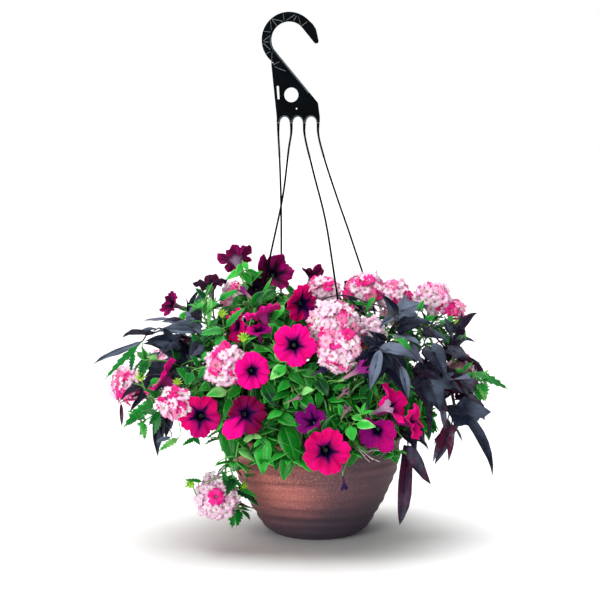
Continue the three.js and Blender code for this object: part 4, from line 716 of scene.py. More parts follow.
# Materials
class Paint:
    """A material whose colour is laid on share by share, over its first colour."""

    def __init__(self, name, colour, roughness=0.5, **settings):
        self.material = bpy.data.materials.new(name)
        self.material.use_nodes = True
        self.tree = self.material.node_tree
        self.shader = self.tree.nodes["Principled BSDF"]
        self.output = self.tree.nodes["Material Output"]
        self.shader.inputs["Roughness"].default_value = roughness
        for key, value in settings.items():
            self.shader.inputs[key.replace("_", " ")].default_value = value
        self.place = self.node("ShaderNodeTexCoord").outputs["Object"]
        self.colour = colour

    def node(self, kind, **settings):
        made = self.tree.nodes.new(kind)
        for key, value in settings.items():
            setattr(made, key, value)
        return made

    def link(self, value, socket):
        if isinstance(value, bpy.types.NodeSocket):
            self.tree.links.new(value, socket)
        else:
            socket.default_value = value

    def split(self, vector):
        parts = self.node("ShaderNodeSeparateXYZ")
        self.link(vector, parts.inputs[0])
        return parts.outputs

    def numbers(self, name):
        """The three numbers of a mesh attribute."""
        return self.split(self.node("ShaderNodeAttribute", attribute_name=name).outputs["Vector"])

    def maths(self, operation, a, b=0.0, c=0.0):
        made = self.node("ShaderNodeMath", operation=operation)
        for value, socket in zip((a, b, c), made.inputs):
            self.link(value, socket)
        return made.outputs[0]

    def times(self, a, b, plus=0.0):
        return self.maths("MULTIPLY_ADD", a, b, plus)

    def minus(self, a, b):
        return self.maths("SUBTRACT", a, b)

    def swing(self, value, kind="SINE"):
        """How far a wave is from its middle, either way."""
        return self.maths("ABSOLUTE", self.maths(kind, value))

    def saw(self, value):
        """0.5 at each whole number, falling to 0 half way between two."""
        return self.maths("ABSOLUTE", self.minus(self.maths("FRACT", value), 0.5))

    def ease(self, value, low, high):
        """0 at low, 1 at high, smooth between them."""
        made = self.node("ShaderNodeMapRange", interpolation_type="SMOOTHSTEP")
        self.link(value, made.inputs["Value"])
        made.inputs["From Min"].default_value = low
        made.inputs["From Max"].default_value = high
        return made.outputs["Result"]

    def noise(self, scale, detail=2.0, stretch=None):
        place = self.place
        if stretch:
            mapped = self.node("ShaderNodeMapping")
            self.link(place, mapped.inputs["Vector"])
            mapped.inputs["Scale"].default_value = stretch
            place = mapped.outputs[0]
        made = self.node("ShaderNodeTexNoise")
        self.link(place, made.inputs["Vector"])
        made.inputs["Scale"].default_value = scale
        made.inputs["Detail"].default_value = detail
        return made.outputs["Fac"]

    def mix(self, share, a, b):
        made = self.node("ShaderNodeMix", data_type="RGBA")
        self.link(share, made.inputs[0])
        for value, socket in ((a, made.inputs[6]), (b, made.inputs[7])):
            self.link((*value, 1) if isinstance(value, tuple) else value, socket)
        return made.outputs[2]

    def lay(self, share, colour):
        self.colour = self.mix(share, self.colour, colour)

    def bump(self, height, strength, distance):
        made = self.node("ShaderNodeBump")
        made.inputs["Strength"].default_value = strength
        made.inputs["Distance"].default_value = distance
        self.link(height, made.inputs["Height"])
        self.link(made.outputs[0], self.shader.inputs["Normal"])

    def finish(self, through=0.0, glow=None):
        """Sets the colour, and lets a share of the light through a thin leaf or petal."""
        self.link(self.colour, self.shader.inputs["Base Color"])
        if through:
            thin = self.node("ShaderNodeBsdfTranslucent")
            self.link(glow or self.colour, thin.inputs["Color"])
            both = self.node("ShaderNodeMixShader")
            both.inputs[0].default_value = through
            self.link(self.shader.outputs[0], both.inputs[1])
            self.link(thin.outputs[0], both.inputs[2])
            self.link(both.outputs[0], self.output.inputs["Surface"])
        return self.material


def petal_paint(name, main, pale_and_highlight, purple, maroon, throat, back=False, dark=False, crease_shade_and_streak_depth=0.30):
    """A petunia's petals: form holds the way out from the throat, the turn round it and the tint."""
    paint = Paint(name, main, 0.65, Specular_IOR_Level=0.07)
    out, turn, tint = paint.numbers("form")
    star, bright, _ = paint.numbers("more")
    spread = paint.times(turn, TURN)
    grain = paint.noise(55.0, 3.0)
    paint.lay(paint.ease(paint.times(bright, 0.6, grain), 0.55, 1.05), pale_and_highlight)
    # Painted highlight: the outer rim of the petals is paler.
    paint.lay(paint.times(paint.ease(out, 0.86, 1.0), 0.5), pale_and_highlight)
    # Painted shade in the creases between the lobes, deeper towards the throat; on the dark blooms the same
    # mask lays dark streaks down the middle of each lobe.
    creases_and_streaks = paint.swing(paint.times(spread, 2.5), "SINE" if dark else "COSINE")
    shaded_crease_and_streak = paint.times(paint.ease(creases_and_streaks, 0.35 if dark else 0.70, 1.0), paint.ease(out, 1.1, 0.2))
    paint.lay(paint.times(shaded_crease_and_streak, crease_shade_and_streak_depth), maroon)
    strong = paint.times(paint.noise(38.0, 1.0), 0.5, paint.times(tint, 1.2))
    paint.lay(paint.ease(strong, 0.45, 1.15), purple)
    paint.lay(paint.ease(tint, 1.1, 1.8), maroon)
    wander = paint.times(paint.noise(120.0, 1.0), 2.4, paint.times(spread, 17.5))
    veins = paint.minus(1.0, paint.ease(paint.swing(wander), 0.0, 0.70))
    strength = paint.times(paint.ease(out, 1.05, 0.2), paint.times(star, 0.16, 0.08))
    paint.lay(paint.times(veins, strength), throat)
    lobes = paint.times(paint.maths("COSINE", paint.times(spread, 5.0)), -0.5, 0.5)
    wide = paint.times(star, 0.1 if back else 0.50)
    reach = paint.times(paint.maths("POWER", lobes, 8.0), wide, -0.05)
    reach = paint.times(star, 0.10, reach)
    reach = paint.times(veins, 0.10, reach)
    reach = paint.times(paint.noise(95.0), 0.18, reach)
    beyond = paint.minus(out, reach)
    paint.lay(paint.times(paint.ease(beyond, 0.50, 0.0), 0.45), purple)
    paint.lay(paint.ease(beyond, 0.22, -0.14), throat)
    if back:
        paint.lay(0.08 if dark else 0.25, pale_and_highlight)
    paint.bump(paint.times(paint.maths("SINE", wander), 0.22, grain), 0.6, 0.0018)
    return paint.finish(through=0.2)


def leaf_paint(name, dark, main, light, pale_and_highlight, rib, roughness, ribs=7.0, bump=0.5, rib_share=0.5):
    """A simple leaf: form holds the way along it, the way across it and how light it is."""
    paint = Paint(name, dark, roughness, Specular_IOR_Level=0.24)
    along, side, tint = paint.numbers("form")
    off = paint.maths("ABSOLUTE", side)
    patch = paint.noise(32.0, 3.0)
    # How light each spot is: the leaf's own tone and painted light and shade, from the dark colour, a painted
    # shade, to the pale colour, a painted highlight, lighter towards the margin.
    share = paint.maths("ADD", paint.minus(patch, 0.5), tint)
    share = paint.times(paint.maths("POWER", off, 2.0), 0.16, share)
    paint.lay(paint.ease(share, 0.05, 0.42), main)
    paint.lay(paint.ease(share, 0.46, 0.80), light)
    paint.lay(paint.ease(share, 0.86, 1.08), pale_and_highlight)
    # Painted highlight along the margin.
    paint.lay(paint.times(paint.ease(off, 0.84, 1.0), paint.times(patch, 0.8, -0.05)), pale_and_highlight)
    side_ribs = paint.saw(paint.times(paint.minus(along, paint.times(off, 0.3)), ribs))
    side_ribs = paint.times(paint.ease(side_ribs, 0.42, 0.5), 0.55)
    lines = paint.maths("MAXIMUM", paint.ease(off, 0.13, 0.03), side_ribs)
    paint.lay(paint.times(lines, rib_share), rib)
    paint.bump(paint.minus(paint.times(paint.noise(260.0), 0.35), lines), bump, 0.0008)
    return paint.finish(through=0.2)


def vine_paint(name, main, light, red, rib, roughness, specular):
    """A vine leaf: form holds the way across it and how red it is, more the distances to its veins in mm and
    its painted sheen.
    """
    paint = Paint(name, main, roughness, Specular_IOR_Level=specular, Specular_Tint=(0.7, 0.86, 1.0, 1.0))
    _, side, tint = paint.numbers("form")
    far, run, shade = paint.numbers("more")
    # Painted sheen: a pale slate colour in patches and by each leaf's share, less on one half of the blade,
    # which is painted shade.
    painted_sheen = paint.maths("ADD", paint.noise(26.0, 4.0), paint.times(shade, 0.8, -0.2))
    painted_sheen = paint.minus(painted_sheen, paint.times(paint.ease(side, -0.12, 0.12), 0.16))
    paint.lay(paint.ease(painted_sheen, 0.34, 1.02), light)
    paint.lay(paint.times(tint, paint.ease(paint.noise(60.0, 3.0), 0.3, 0.62)), red)
    side_ribs = paint.saw(paint.maths("DIVIDE", paint.minus(run, paint.times(far, 0.8)), 7.0))
    side_ribs = paint.times(paint.ease(side_ribs, 0.44, 0.5), 0.5)
    lines = paint.maths("MAXIMUM", paint.ease(far, 0.8, 0.15), side_ribs)
    paint.lay(paint.times(lines, 0.35), rib)
    paint.bump(paint.minus(paint.times(paint.noise(180.0, 3.0), 0.5), lines), 0.5, 0.0009)
    return paint.finish(through=0.06)


def faded_paint(name, foot, mouth):
    """A closed or withered bloom: form holds the way from the foot to the mouth and the turn round it."""
    paint = Paint(name, foot, 0.75, Specular_IOR_Level=0.1)
    along, turn, _ = paint.numbers("form")
    patch = paint.noise(140.0, 3.0)
    paint.lay(paint.ease(paint.times(patch, 0.4, along), 0.45, 1.0), mouth)
    lines = paint.ease(paint.swing(paint.times(patch, 3.0, paint.times(turn, TURN * 5))), 0.35, 0.0)
    paint.lay(paint.times(lines, 0.35), mouth)
    paint.bump(paint.maths("ADD", patch, lines), 0.7, 0.0010)
    return paint.finish(through=0.15)


def plain_paint(name, main, light, roughness, scale=60.0, bump=0.3, distance=0.0005):
    """Two colours in patches, with a grain of the same size."""
    paint = Paint(name, main, roughness)
    patch = paint.noise(scale, 4.0)
    paint.lay(paint.ease(patch, 0.3, 0.7), light)
    paint.bump(patch, bump, distance)
    return paint.finish()


def floret_paint(name):
    """Verbena petals: form holds the way out from the eye, the turn and how fresh they are, more a blush."""
    paint = Paint(name, (1.0, 0.96, 0.98), 0.65, Specular_IOR_Level=0.25)
    out, turn, fresh = paint.numbers("form")
    blush, _, _ = paint.numbers("more")
    patch = paint.noise(90.0)
    paint.lay(paint.ease(patch, 0.35, 0.65), (1.0, 0.80, 0.92))
    edge = paint.times(paint.ease(out, 0.30, 1.0), paint.times(patch, 0.7, blush))
    paint.lay(paint.ease(edge, 0.15, 1.05), (0.98, 0.24, 0.63))
    hot = paint.mix(paint.ease(patch, 0.35, 0.75), (0.94, 0.004, 0.27), (0.95, 0.04, 0.40))
    paint.lay(paint.ease(fresh, 0.40, 0.62), hot)
    paint.lay(paint.ease(out, 0.27, 0.14), paint.mix(fresh, (0.62, 0.58, 0.24), (0.45, 0.10, 0.06)))
    veins = paint.swing(paint.times(turn, TURN * 12.5))
    paint.bump(paint.times(veins, 0.4, patch), 0.3, 0.0005)
    return paint.finish(through=0.30, glow=paint.mix(0.55, paint.colour, (1.0, 0.55, 0.84)))


def pot_paint():
    """Speckled terracotta resin with dusty dots and rings, painted light on the ridges, painted shade right
    and at the foot.
    """
    paint = Paint("pot_resin", (0.185, 0.060, 0.064), Specular_IOR_Level=0.3)
    x, _, z = paint.split(paint.place)
    bands = paint.noise(5.0, 3.0, stretch=(1.0, 1.0, 16.0))
    patch = paint.noise(8.0, 3.0)
    grit = paint.noise(650.0)
    spots = paint.noise(330.0)
    # Rings of tone in the resin, lighter where the bump's rings rise: painted light on the ridges.
    paint.lay(paint.ease(bands, 0.38, 0.60), (0.46, 0.138, 0.124))
    # Painted shade: darker towards the right side, which faces away from the key light.
    side = paint.times(patch, 0.10, x)
    paint.lay(paint.times(paint.ease(side, -0.01, 0.10), 0.9), (0.066, 0.046, 0.064))
    paint.lay(paint.times(paint.ease(patch, 0.45, 0.7), 0.4), (0.15, 0.062, 0.062))
    # Bright flecks in the resin, left out where the painted shade darkens the right side.
    bright = paint.times(paint.ease(grit, 0.54, 0.66), paint.ease(side, 0.17, -0.02))
    paint.lay(paint.times(bright, 0.75), (0.70, 0.29, 0.19))
    paint.lay(paint.times(paint.ease(spots, 0.60, 0.72), 0.6), (0.09, 0.035, 0.03))
    # Painted shade: darker near the foot.
    painted_foot_shade = paint.ease(paint.times(patch, -0.03, z), 0.078, 0.004)
    paint.lay(paint.times(painted_foot_shade, 0.9), (0.034, 0.027, 0.044))
    height = paint.times(grit, 0.5, paint.times(spots, 0.7))
    paint.bump(paint.times(bands, 1.6, height), 0.6, 0.0009)
    paint.link(paint.times(grit, 0.25, 0.58), paint.shader.inputs["Roughness"])
    return paint.finish()


def plastic_paint():
    """Black moulded plastic with a faint grain."""
    paint = Paint("black_plastic", (0.0002, 0.0005, 0.0008), Specular_IOR_Level=0.012)
    patch = paint.noise(40.0, 3.0)
    paint.lay(paint.ease(patch, 0.3, 0.7), (0.001, 0.0026, 0.0042))
    paint.bump(paint.noise(700.0), 0.25, 0.0003)
    paint.link(paint.times(patch, 0.25, 0.28), paint.shader.inputs["Roughness"])
    return paint.finish()


# Petals: main, pale, purple, maroon and throat colours; the pale colour also paints a highlight on the rims
MAGENTA = petal_paint(
    "magenta_petal", (0.68, 0.0, 0.125), (0.98, 0.001, 0.29), (0.19, 0.0, 0.14), (0.19, 0.0, 0.045),
    (0.006, 0.0, 0.030),
)
MAGENTA_BACK = petal_paint(
    "magenta_petal_back", (0.80, 0.002, 0.20), (0.98, 0.02, 0.42), (0.30, 0.01, 0.22), (0.30, 0.003, 0.09),
    (0.12, 0.03, 0.12), back=True,
)
BURGUNDY = petal_paint(
    "burgundy_petal", (0.11, 0.0, 0.034), (0.52, 0.0, 0.21), (0.012, 0.0, 0.010), (0.02, 0.0, 0.008),
    (0.004, 0.0, 0.010), dark=True, crease_shade_and_streak_depth=0.9,
)
BURGUNDY_BACK = petal_paint(
    "burgundy_petal_back", (0.12, 0.001, 0.035), (0.50, 0.01, 0.20), (0.05, 0.002, 0.04), (0.05, 0.002, 0.02),
    (0.27, 0.20, 0.29), back=True, dark=True, crease_shade_and_streak_depth=0.95,
)
FLORET = floret_paint("verbena_petal")
# Simple leaves: dark colour of painted shade, main and light leaf colours, pale colour of painted highlight,
# rib colour and roughness
PETUNIA_LEAF = leaf_paint(
    "petunia_leaf", (0.0004, 0.030, 0.012), (0.0005, 0.19, 0.006), (0.030, 0.52, 0.045), (0.34, 0.82, 0.26),
    (0.08, 0.42, 0.07), 0.30, ribs=6.0, rib_share=0.26,
)
PETUNIA_LEAF_BACK = leaf_paint(
    "petunia_leaf_back", (0.03, 0.18, 0.05), (0.06, 0.29, 0.08), (0.14, 0.44, 0.15), (0.32, 0.62, 0.28),
    (0.3, 0.6, 0.25), 0.6, ribs=6.0,
)
VERBENA_LEAF = leaf_paint(
    "verbena_leaf", (0.001, 0.040, 0.018), (0.001, 0.200, 0.018), (0.030, 0.44, 0.055), (0.24, 0.62, 0.16),
    (0.08, 0.38, 0.09), 0.4, bump=0.9, rib_share=0.25,
)
VERBENA_LEAF_BACK = leaf_paint(
    "verbena_leaf_back", (0.03, 0.16, 0.05), (0.05, 0.26, 0.08), (0.13, 0.40, 0.14), (0.28, 0.55, 0.22),
    (0.25, 0.5, 0.22), 0.6,
)
# Vine leaves: main colour, light colour of the painted sheen, red and rib colours, roughness and shine
VINE_LEAF = vine_paint(
    "vine_leaf", (0.0045, 0.0052, 0.015), (0.135, 0.170, 0.240), (0.075, 0.002, 0.026), (0.060, 0.074, 0.100),
    0.40, 0.10,
)
VINE_LEAF_BACK = vine_paint(
    "vine_leaf_back", (0.006, 0.002, 0.008), (0.030, 0.006, 0.026), (0.10, 0.002, 0.030), (0.07, 0.010, 0.04),
    0.45, 0.15,
)
PETUNIA_STEM = plain_paint("petunia_stem", (0.08, 0.33, 0.03), (0.22, 0.50, 0.10), 0.5)
VERBENA_STEM = plain_paint("verbena_stem", (0.05, 0.26, 0.03), (0.16, 0.40, 0.07), 0.55)
VINE_STEM = plain_paint("vine_stem", (0.010, 0.003, 0.009), (0.035, 0.008, 0.02), 0.45)
BUD = plain_paint("green_bud", (0.19, 0.52, 0.01), (0.42, 0.72, 0.05), 0.5, 80.0)
ANTHER = plain_paint("anther", (0.03, 0.06, 0.07), (0.14, 0.20, 0.18), 0.6, 200.0, 0.4, 0.0004)
# Faded blooms: colours of the foot and of the mouth
WILTED = faded_paint("wilted_petal", (0.50, 0.30, 0.36), (0.30, 0.02, 0.22))
WITHERED = faded_paint("withered_petal", (0.34, 0.22, 0.20), (0.30, 0.17, 0.22))
LILAC = faded_paint("lilac_petal", (0.16, 0.09, 0.15), (0.42, 0.24, 0.38))
DUSKY = faded_paint("dusky_petal", (0.09, 0.035, 0.09), (0.03, 0.012, 0.09))
STRAW = plain_paint("dry_filament", (0.34, 0.24, 0.28), (0.66, 0.56, 0.60), 0.7, 200.0, 0.4)
CORE = plain_paint("verbena_core", (0.70, 0.20, 0.36), (0.90, 0.48, 0.58), 0.7, 220.0, 1.0, 0.003)
SOIL = plain_paint("potting_mix", (0.018, 0.011, 0.007), (0.06, 0.04, 0.026), 0.95, 160.0, 1.0, 0.003)
POT = pot_paint()
PLASTIC = plastic_paint()
# Raised lines on the hook: the black plastic painted lighter as a highlight.
RIDGE_HIGHLIGHT = plain_paint(
    "black_plastic_ridge_highlight", (0.020, 0.032, 0.038), (0.070, 0.095, 0.105), 0.35, bump=0.2, distance=0.0003,
)


# Shapes of the plants
def tube_length(radius):
    """How far a petunia's tube reaches back from the middle of its bloom."""
    return radius * 1.05 + 4


def petunia(
    piece, centre, facing, radius, roll, tint, draw,
    cleft=0.76, flare=0.0, star=0.55, bright=0.5, tints=None, bend=0, size=1,
    roundness=0.48, notch=0.06, waves=1.0,
):
    """An open petunia: one thin sheet from its tube to the ruffled rim of five lobes, with stamens inside."""
    axis = unit(facing)
    first, second = across(axis, math.radians(roll))
    sides, steps = (60, 8) if centre[1] > FAR_SIDE else (90, 11)
    a = np.arange(sides) * TURN / sides
    shape = np.abs(np.sin(2.5 * a))
    lobe = np.floor(a / TURN * 5).astype(int)
    own_tints = np.clip(tint + draw.uniform(-0.12, 0.12, 5), 0, 1)
    tints = np.asarray(own_tints if tints is None else tints, float)
    blend = shape**0.25
    tint_round = tints[lobe] * blend + tints.mean() * (1 - blend)
    tilt = (draw.uniform(-0.12, 0.12, 5) + bend)[lobe] * shape
    size = 1 + (draw.uniform(-0.05, 0.03, 5) + size - 1)[lobe] * shape
    ripple = 0.020 * wave(a, 19, draw) + 0.014 * wave(a, 31, draw)
    ripple = ripple * waves - notch * np.exp(-(((shape - 1) / 0.016) ** 2))
    rim_reach = radius * (cleft + (1 - cleft) * shape**roundness) * size + radius * ripple
    rim_rise = radius * (0.07 * np.sin(5 * a + roll) + 0.05 * np.sin(3 * a + 2 * roll) + tilt)
    ruffle = 0.055 * wave(a, 11, draw) + 0.040 * wave(a, 17, draw)
    length = tube_length(radius)
    tube = [
        (0.085, -length), (0.10, -0.85 * length), (0.125, -0.66 * length), (0.15, -0.52 * radius),
        (0.18, -0.40 * radius), (0.205, -0.27 * radius), (0.225, -0.17 * radius),
    ]
    reach, rise, out = [], [], []
    for r, h in tube:
        reach.append(radius * r * (1 - 0.10 * (1 - shape) * min(1, r / 0.2)))
        rise.append(np.full(sides, h))
        out.append(r - 0.4)
    inner = radius * 0.245 * (1 - 0.12 * (1 - shape))
    for t in np.linspace(0, 1, steps + 1):
        reach.append(inner + (rim_reach - inner) * t)
        bell = -0.10 * (1 - t) ** 2.2
        fold = 0.10 * math.sin(math.pi * min(1, t * 0.9)) * (shape - 0.55)
        crease = -0.026 * np.exp(-(((shape - 1) / 0.02) ** 2)) * math.sin(math.pi * t)
        droop = -0.07 * t**3 * (0.5 + shape)
        rise.append(radius * (bell + fold + crease + droop + flare * t + ruffle * t**2) + rim_rise * t**1.6)
        out.append(t)
    reach, rise = np.array(reach), np.array(rise)
    points = centre + reach[..., None] * around(a, first, second) + rise[..., None] * axis
    form = in_threes(np.array(out)[:, None], a / TURN, tint_round)
    faces = [grid(len(reach), sides, True)]
    piece.sheet(("petunia", sides), points, faces, PETAL_SLOTS, 0.5, form, (star, bright, 0))
    for k in range(5):
        aside = around(k * TURN / 5 + 0.4, first, second) * radius * 0.07
        foot = centre - axis * radius * 0.6 + aside * 0.4
        tip = centre - axis * radius * (0.26 + 0.06 * (k % 2)) + aside
        piece.tube([foot, (foot + tip) / 2, tip], 0.45, 5, ANTHER_SLOT)
        piece.blob(tip, axis, (radius * 0.03, radius * 0.045), ANTHER_SLOT, rows=4, sides=6)


def leaf_frame(base, tip, face):
    """A leaf's base, its length, the way along it, the way to its side and the way its face looks."""
    base, tip = np.asarray(base, float), np.asarray(tip, float)
    length = np.linalg.norm(tip - base)
    along = (tip - base) / length
    up = unit(np.asarray(face, float) - along * np.dot(face, along))
    return base, length, along, np.cross(along, up), up


def blade(piece, kind, base, tip, width, face, tint, draw, arch=0.06, fold=0.05, droop=0.0, columns=3):
    """A simple leaf with a smooth or a toothed edge."""
    base, length, along, side, up = leaf_frame(base, tip, face)
    toothed = kind == "toothed"
    rows = 14 if toothed else 5 + columns
    u = np.linspace(0, 1, rows)[:, None]
    v = np.linspace(-1, 1, columns)
    half = np.sin(np.pi * u**0.72) ** 0.85
    half = np.where(u < 0.16, np.maximum(half * (u / 0.16) ** 1.3, 0.07), half)
    shift = np.zeros_like(u)
    if toothed:
        is_tooth = np.arange(rows)[:, None] % 2 == 1
        half = half * np.where(is_tooth, 1.06, 0.66)
        shift = np.where(is_tooth, 0.03, -0.012)
    half[-1] = 0.015
    ripple = 0.03 * width * wave(u, 9, draw)
    twist = draw.uniform(-0.25, 0.25) * u
    aside = half * v * width / 2
    rise = arch * length * 4 * u * (1 - u) + fold * width * np.abs(v) * half
    rise = rise + ripple * v**2 * np.sign(v) + aside * twist
    forward = (u + shift * np.abs(v)) * length
    points = base + forward[..., None] * along + aside[..., None] * side + rise[..., None] * up
    points[..., 2] -= droop * length * u**2
    faces = [grid(rows, columns)]
    piece.sheet(("blade", rows, columns), points, faces, LEAF_SLOTS, 0.4, in_threes(u, v, tint))


def half_outline(rows):
    """Half of a leaf's outline as close points, from rows that tell which corners are sharp."""
    points = []
    start = 0
    for i in range(1, len(rows)):
        if rows[i][2] or i == len(rows) - 1:
            run = np.array([row[:2] for row in rows[start : i + 1]])
            if len(run) == 2:
                run = np.array([run[0], (run[0] + run[1]) / 2, run[1]])
            length = np.linalg.norm(np.diff(run, axis=0), axis=1).sum()
            points.extend(smooth_path(np.column_stack([run, np.zeros(len(run))]), length / 10)[:-1, :2])
            start = i
    points.append(np.array(rows[-1][:2]))
    return np.array(points)


def lobed_outline(kind):
    """The whole outline of a lobed leaf as close points, and the tips of its lobes."""
    right = LOBES[kind]
    left = LEFT_HALVES.get(kind, right)
    tips = [(u, v) for u, v, sharp in right if sharp] + [(u, -v) for u, v, sharp in left if sharp and v]
    return np.vstack([half_outline(right), half_outline(left)[:-1][::-1] * [1, -1]]), tips


OUTLINES = {kind: lobed_outline(kind) for kind in LOBES}


def lobed(piece, kind, base, tip, width, face, tint, draw):
    """A lobed leaf: rings from its middle out to its edge, with sunken veins to the tip of each lobe."""
    outline, tips = OUTLINES[kind]
    base, length, along, side, up = leaf_frame(base, tip, face)
    middle = np.array([0.42 if kind == "lance" else 0.2, 0.0])
    rings = 8 if width > 50 else 6
    count = len(outline)
    share = (np.arange(1, rings + 1) / rings) ** 1.4
    flat = middle + (outline - middle)[None, :, :] * share[:, None, None]
    flat = np.vstack([middle[None, :], flat.reshape(-1, 2)])
    turned = -1.0 if kind in LEFT_HALVES and side[0] < 0 else 1.0
    u, v = flat[:, 0], flat[:, 1] * turned
    spots = np.column_stack([u * length, v * width / 2])
    far = np.full(len(spots), 1e9)
    run = np.zeros(len(spots))
    for tip_u, tip_v in tips:
        end = np.array([tip_u * length, tip_v * turned * width / 2])
        vein = np.linalg.norm(end)
        along_vein = np.clip(spots @ end / vein, 0, vein)
        gap = np.linalg.norm(spots - along_vein[:, None] * end / vein, axis=1)
        run = np.where(gap < far, along_vein, run)
        far = np.minimum(far, gap)
    edge = np.concatenate([[0], np.repeat(share, count)])
    turn = np.concatenate([[0], np.tile(np.arange(count) * TURN / count, rings)])
    inside = np.clip(u, 0, 1)
    bow = length * 4 * inside * (1 - inside)
    rise = 0.07 * bow + 0.03 * np.abs(v) * width
    rise -= 0.9 * np.exp(-((far / 1.8) ** 2)) * np.minimum(1, 3 * (1 - edge) + 0.2)
    rise += 0.030 * width * edge**2 * wave(turn, 7, draw)
    rise += 0.06 * length * wave(u, 4, draw) * edge
    rise -= 0.3125 * length * np.maximum(u - 0.6, 0) ** 2
    aside = spots[:, 1] + turned * BOW.get(kind, 0.0) * bow
    points = base + spots[:, :1] * along + aside[:, None] * side + rise[:, None] * up
    k = np.arange(count)
    fan = np.stack([np.zeros(count, int), k + 1, (k + 1) % count + 1], 1)
    faces = [fan, grid(rings, count, True) + 1]
    faces_down = np.mean(normals_of(points, faces) @ up) < 0
    if faces_down:
        faces = [rows[:, ::-1] for rows in faces]
    shade = draw.uniform(0, 1) ** 1.6 if tint >= 0 else -tint
    form = in_threes(u, v, max(tint, 0.0))
    key = ("lobed", kind, turned, rings, faces_down)
    piece.sheet(key, points, faces, LEAF_SLOTS, 0.5, form, in_threes(far, run, shade))


def floret_sheet(radius, draw, sides):
    """Points of a floret in its own frame: five notched, frilled petals round a sunken eye."""
    a = np.arange(sides) * TURN / sides
    shape = np.abs(np.sin(2.5 * a))
    notch = np.exp(-(((shape - 1) / 0.04) ** 2))
    lobe = np.floor(a / TURN * 5).astype(int)
    size = 1 + draw.uniform(-0.12, 0.08, 5)[lobe] * shape
    rim = (0.66 + 0.40 * shape**0.6 - 0.17 * notch) * size + draw.uniform(-0.035, 0.035, 40)[:sides]
    tilt = draw.uniform(-0.30, 0.45, 5)[lobe] * shape
    frill = 0.11 * wave(a, 10, draw)
    out = np.array([0.12, 0.60, 1.0])[:, None]
    reach = rim * out * (1 - 0.06 * out * shape)
    rise = -0.20 * (1 - out) ** 2 + (tilt + frill) * out**1.5 + 0.14 * (1 - shape) * out - 0.12 * out**3
    return a, reach * radius, rise * radius, out


def verbena_head(piece, centre, facing, radius, fullness, heat, draw):
    """A head of florets all round a small core, the freshest of them deep pink."""
    axis = unit(facing)
    centre = np.asarray(centre, float)
    sides = 20 if centre[1] > FAR_SIDE else 30
    total = int(4 * radius**2 / (FLORET_SIZE**2 * 0.50))
    k = np.arange(total) + 0.5
    rise = 1 - 2 * k / total
    angle = k * GOLDEN_ANGLE + draw.uniform(0, 6)
    flat = np.sqrt(1 - rise**2)
    ways = rise[:, None] * axis + flat[:, None] * around(angle, *across(axis, 0))
    core = radius * 0.66
    turn = np.linspace(0.05, math.pi - 0.05, 9)
    piece.tube(centre - np.cos(turn)[:, None] * axis * core, np.sin(turn) * core, 14, CORE_SLOT, 0.5)
    shift = Vector(draw.uniform(-9, 9, 3))
    ways = list(ways)
    hottest = max(ways, key=lambda way: -way[1] - 0.2 * abs(way[0]) + 0.1 * way[2])
    ways = [way if way is hottest else unit(way + draw.normal(0, 0.08, 3)) for way in ways]
    for way, height in zip(ways, rise):
        if height < LOWEST_FLORET[fullness]:
            continue
        lumps = noise.noise(Vector(way) * 1.8 + shift)
        reach = radius * (0.90 + 0.16 * lumps + draw.uniform(-0.09, 0.07))
        size = FLORET_SIZE * draw.uniform(0.86, 1.14)
        warm = noise.noise(Vector(way) * 2.6 - shift) * 0.9 + heat + 0.22 * height - 0.12
        warm = min(1.0, max(0.0, warm + draw.uniform(-0.16, 0.16)))
        if fullness == "round" and way is hottest:
            warm, size, reach = 1.0, FLORET_SIZE * 1.3, radius * 1.06
        face = unit(way + axis * 0.35 + draw.normal(0, 0.24, 3))
        one, two = across(face, draw.uniform(0, TURN))
        a, wide, high, out = floret_sheet(size, draw, sides)
        middle = centre + way * reach
        points = middle + wide[..., None] * around(a, one, two) + high[..., None] * np.cross(one, two)
        form = in_threes(out, a / TURN, warm)
        blush = draw.uniform(-0.1, 0.35) + 0.4 * warm
        faces = [grid(3, sides, True)]
        piece.sheet(("floret", sides), points, faces, FLORET_SLOTS, 0.35, form, (blush, 0, 0))
        ends = [centre + way * radius * 0.4, middle - face * size * 0.14]
        piece.tube(ends, [0.8, 1.0], 5, CORE_SLOT, 0.2)


# Stems
pieces = {name: Piece() for name in PLANTS}
stem_paths = {name: [] for name in PLANTS}
flowers = [(np.asarray(row[2], float), unit(row[3]), row[4]) for row in PETUNIAS]
heads = [(np.asarray(row[2], float), row[4]) for row in HEADS]


def from_crown(plant, *way):
    """A way that starts upright at its plant's crown."""
    x, y = PLANTS[plant]
    aim = unit([way[0][0] - x, way[0][1] - y, 0.01])
    base = np.array([x, y, SOIL_TOP - 4.0]) + aim * 2.5
    return [base, base + aim * 3 + [0, 0, 14.0], *way]


def flower_stem(plant, foot, facing, node):
    """The way of a flower's stem from its crown: up through the plant, or over the rim and down."""
    top = np.array([*PLANTS[plant], SOIL_TOP + 13.0])
    under = foot - facing * min(22, np.linalg.norm(foot - top) * 0.2)
    rise = top + (under - top) * 0.45
    rise[2] = max(rise[2], top[2] + 28)
    way = [rise]
    flat = math.hypot(foot[0], foot[1])
    if foot[2] < RIM_TOP + 40 and flat > RIM_RADIUS - 20:
        over = np.array([under[0], under[1], 0.0])
        over *= max(RIM_RADIUS - 6, flat * 0.8) / np.linalg.norm(over)
        crest = max(foot[2] + 34, RIM_TOP + 16)
        way = [over * 0.86 + [0, 0, RIM_TOP + 34], over * 1.16 + [0, 0, crest]]
    return from_crown(plant, *ROUTES.get(node, way), under, foot)


def grow(plant, way, radii, sides, shade, skip=2):
    """A stem along a way, with its radii at the foot and at the tip."""
    path = smooth_path(way)
    stem_paths[plant].append(path)
    pieces[plant].tube(path, np.linspace(*radii, len(path)), sides, STEM_SLOT, shade, skip)
    return path


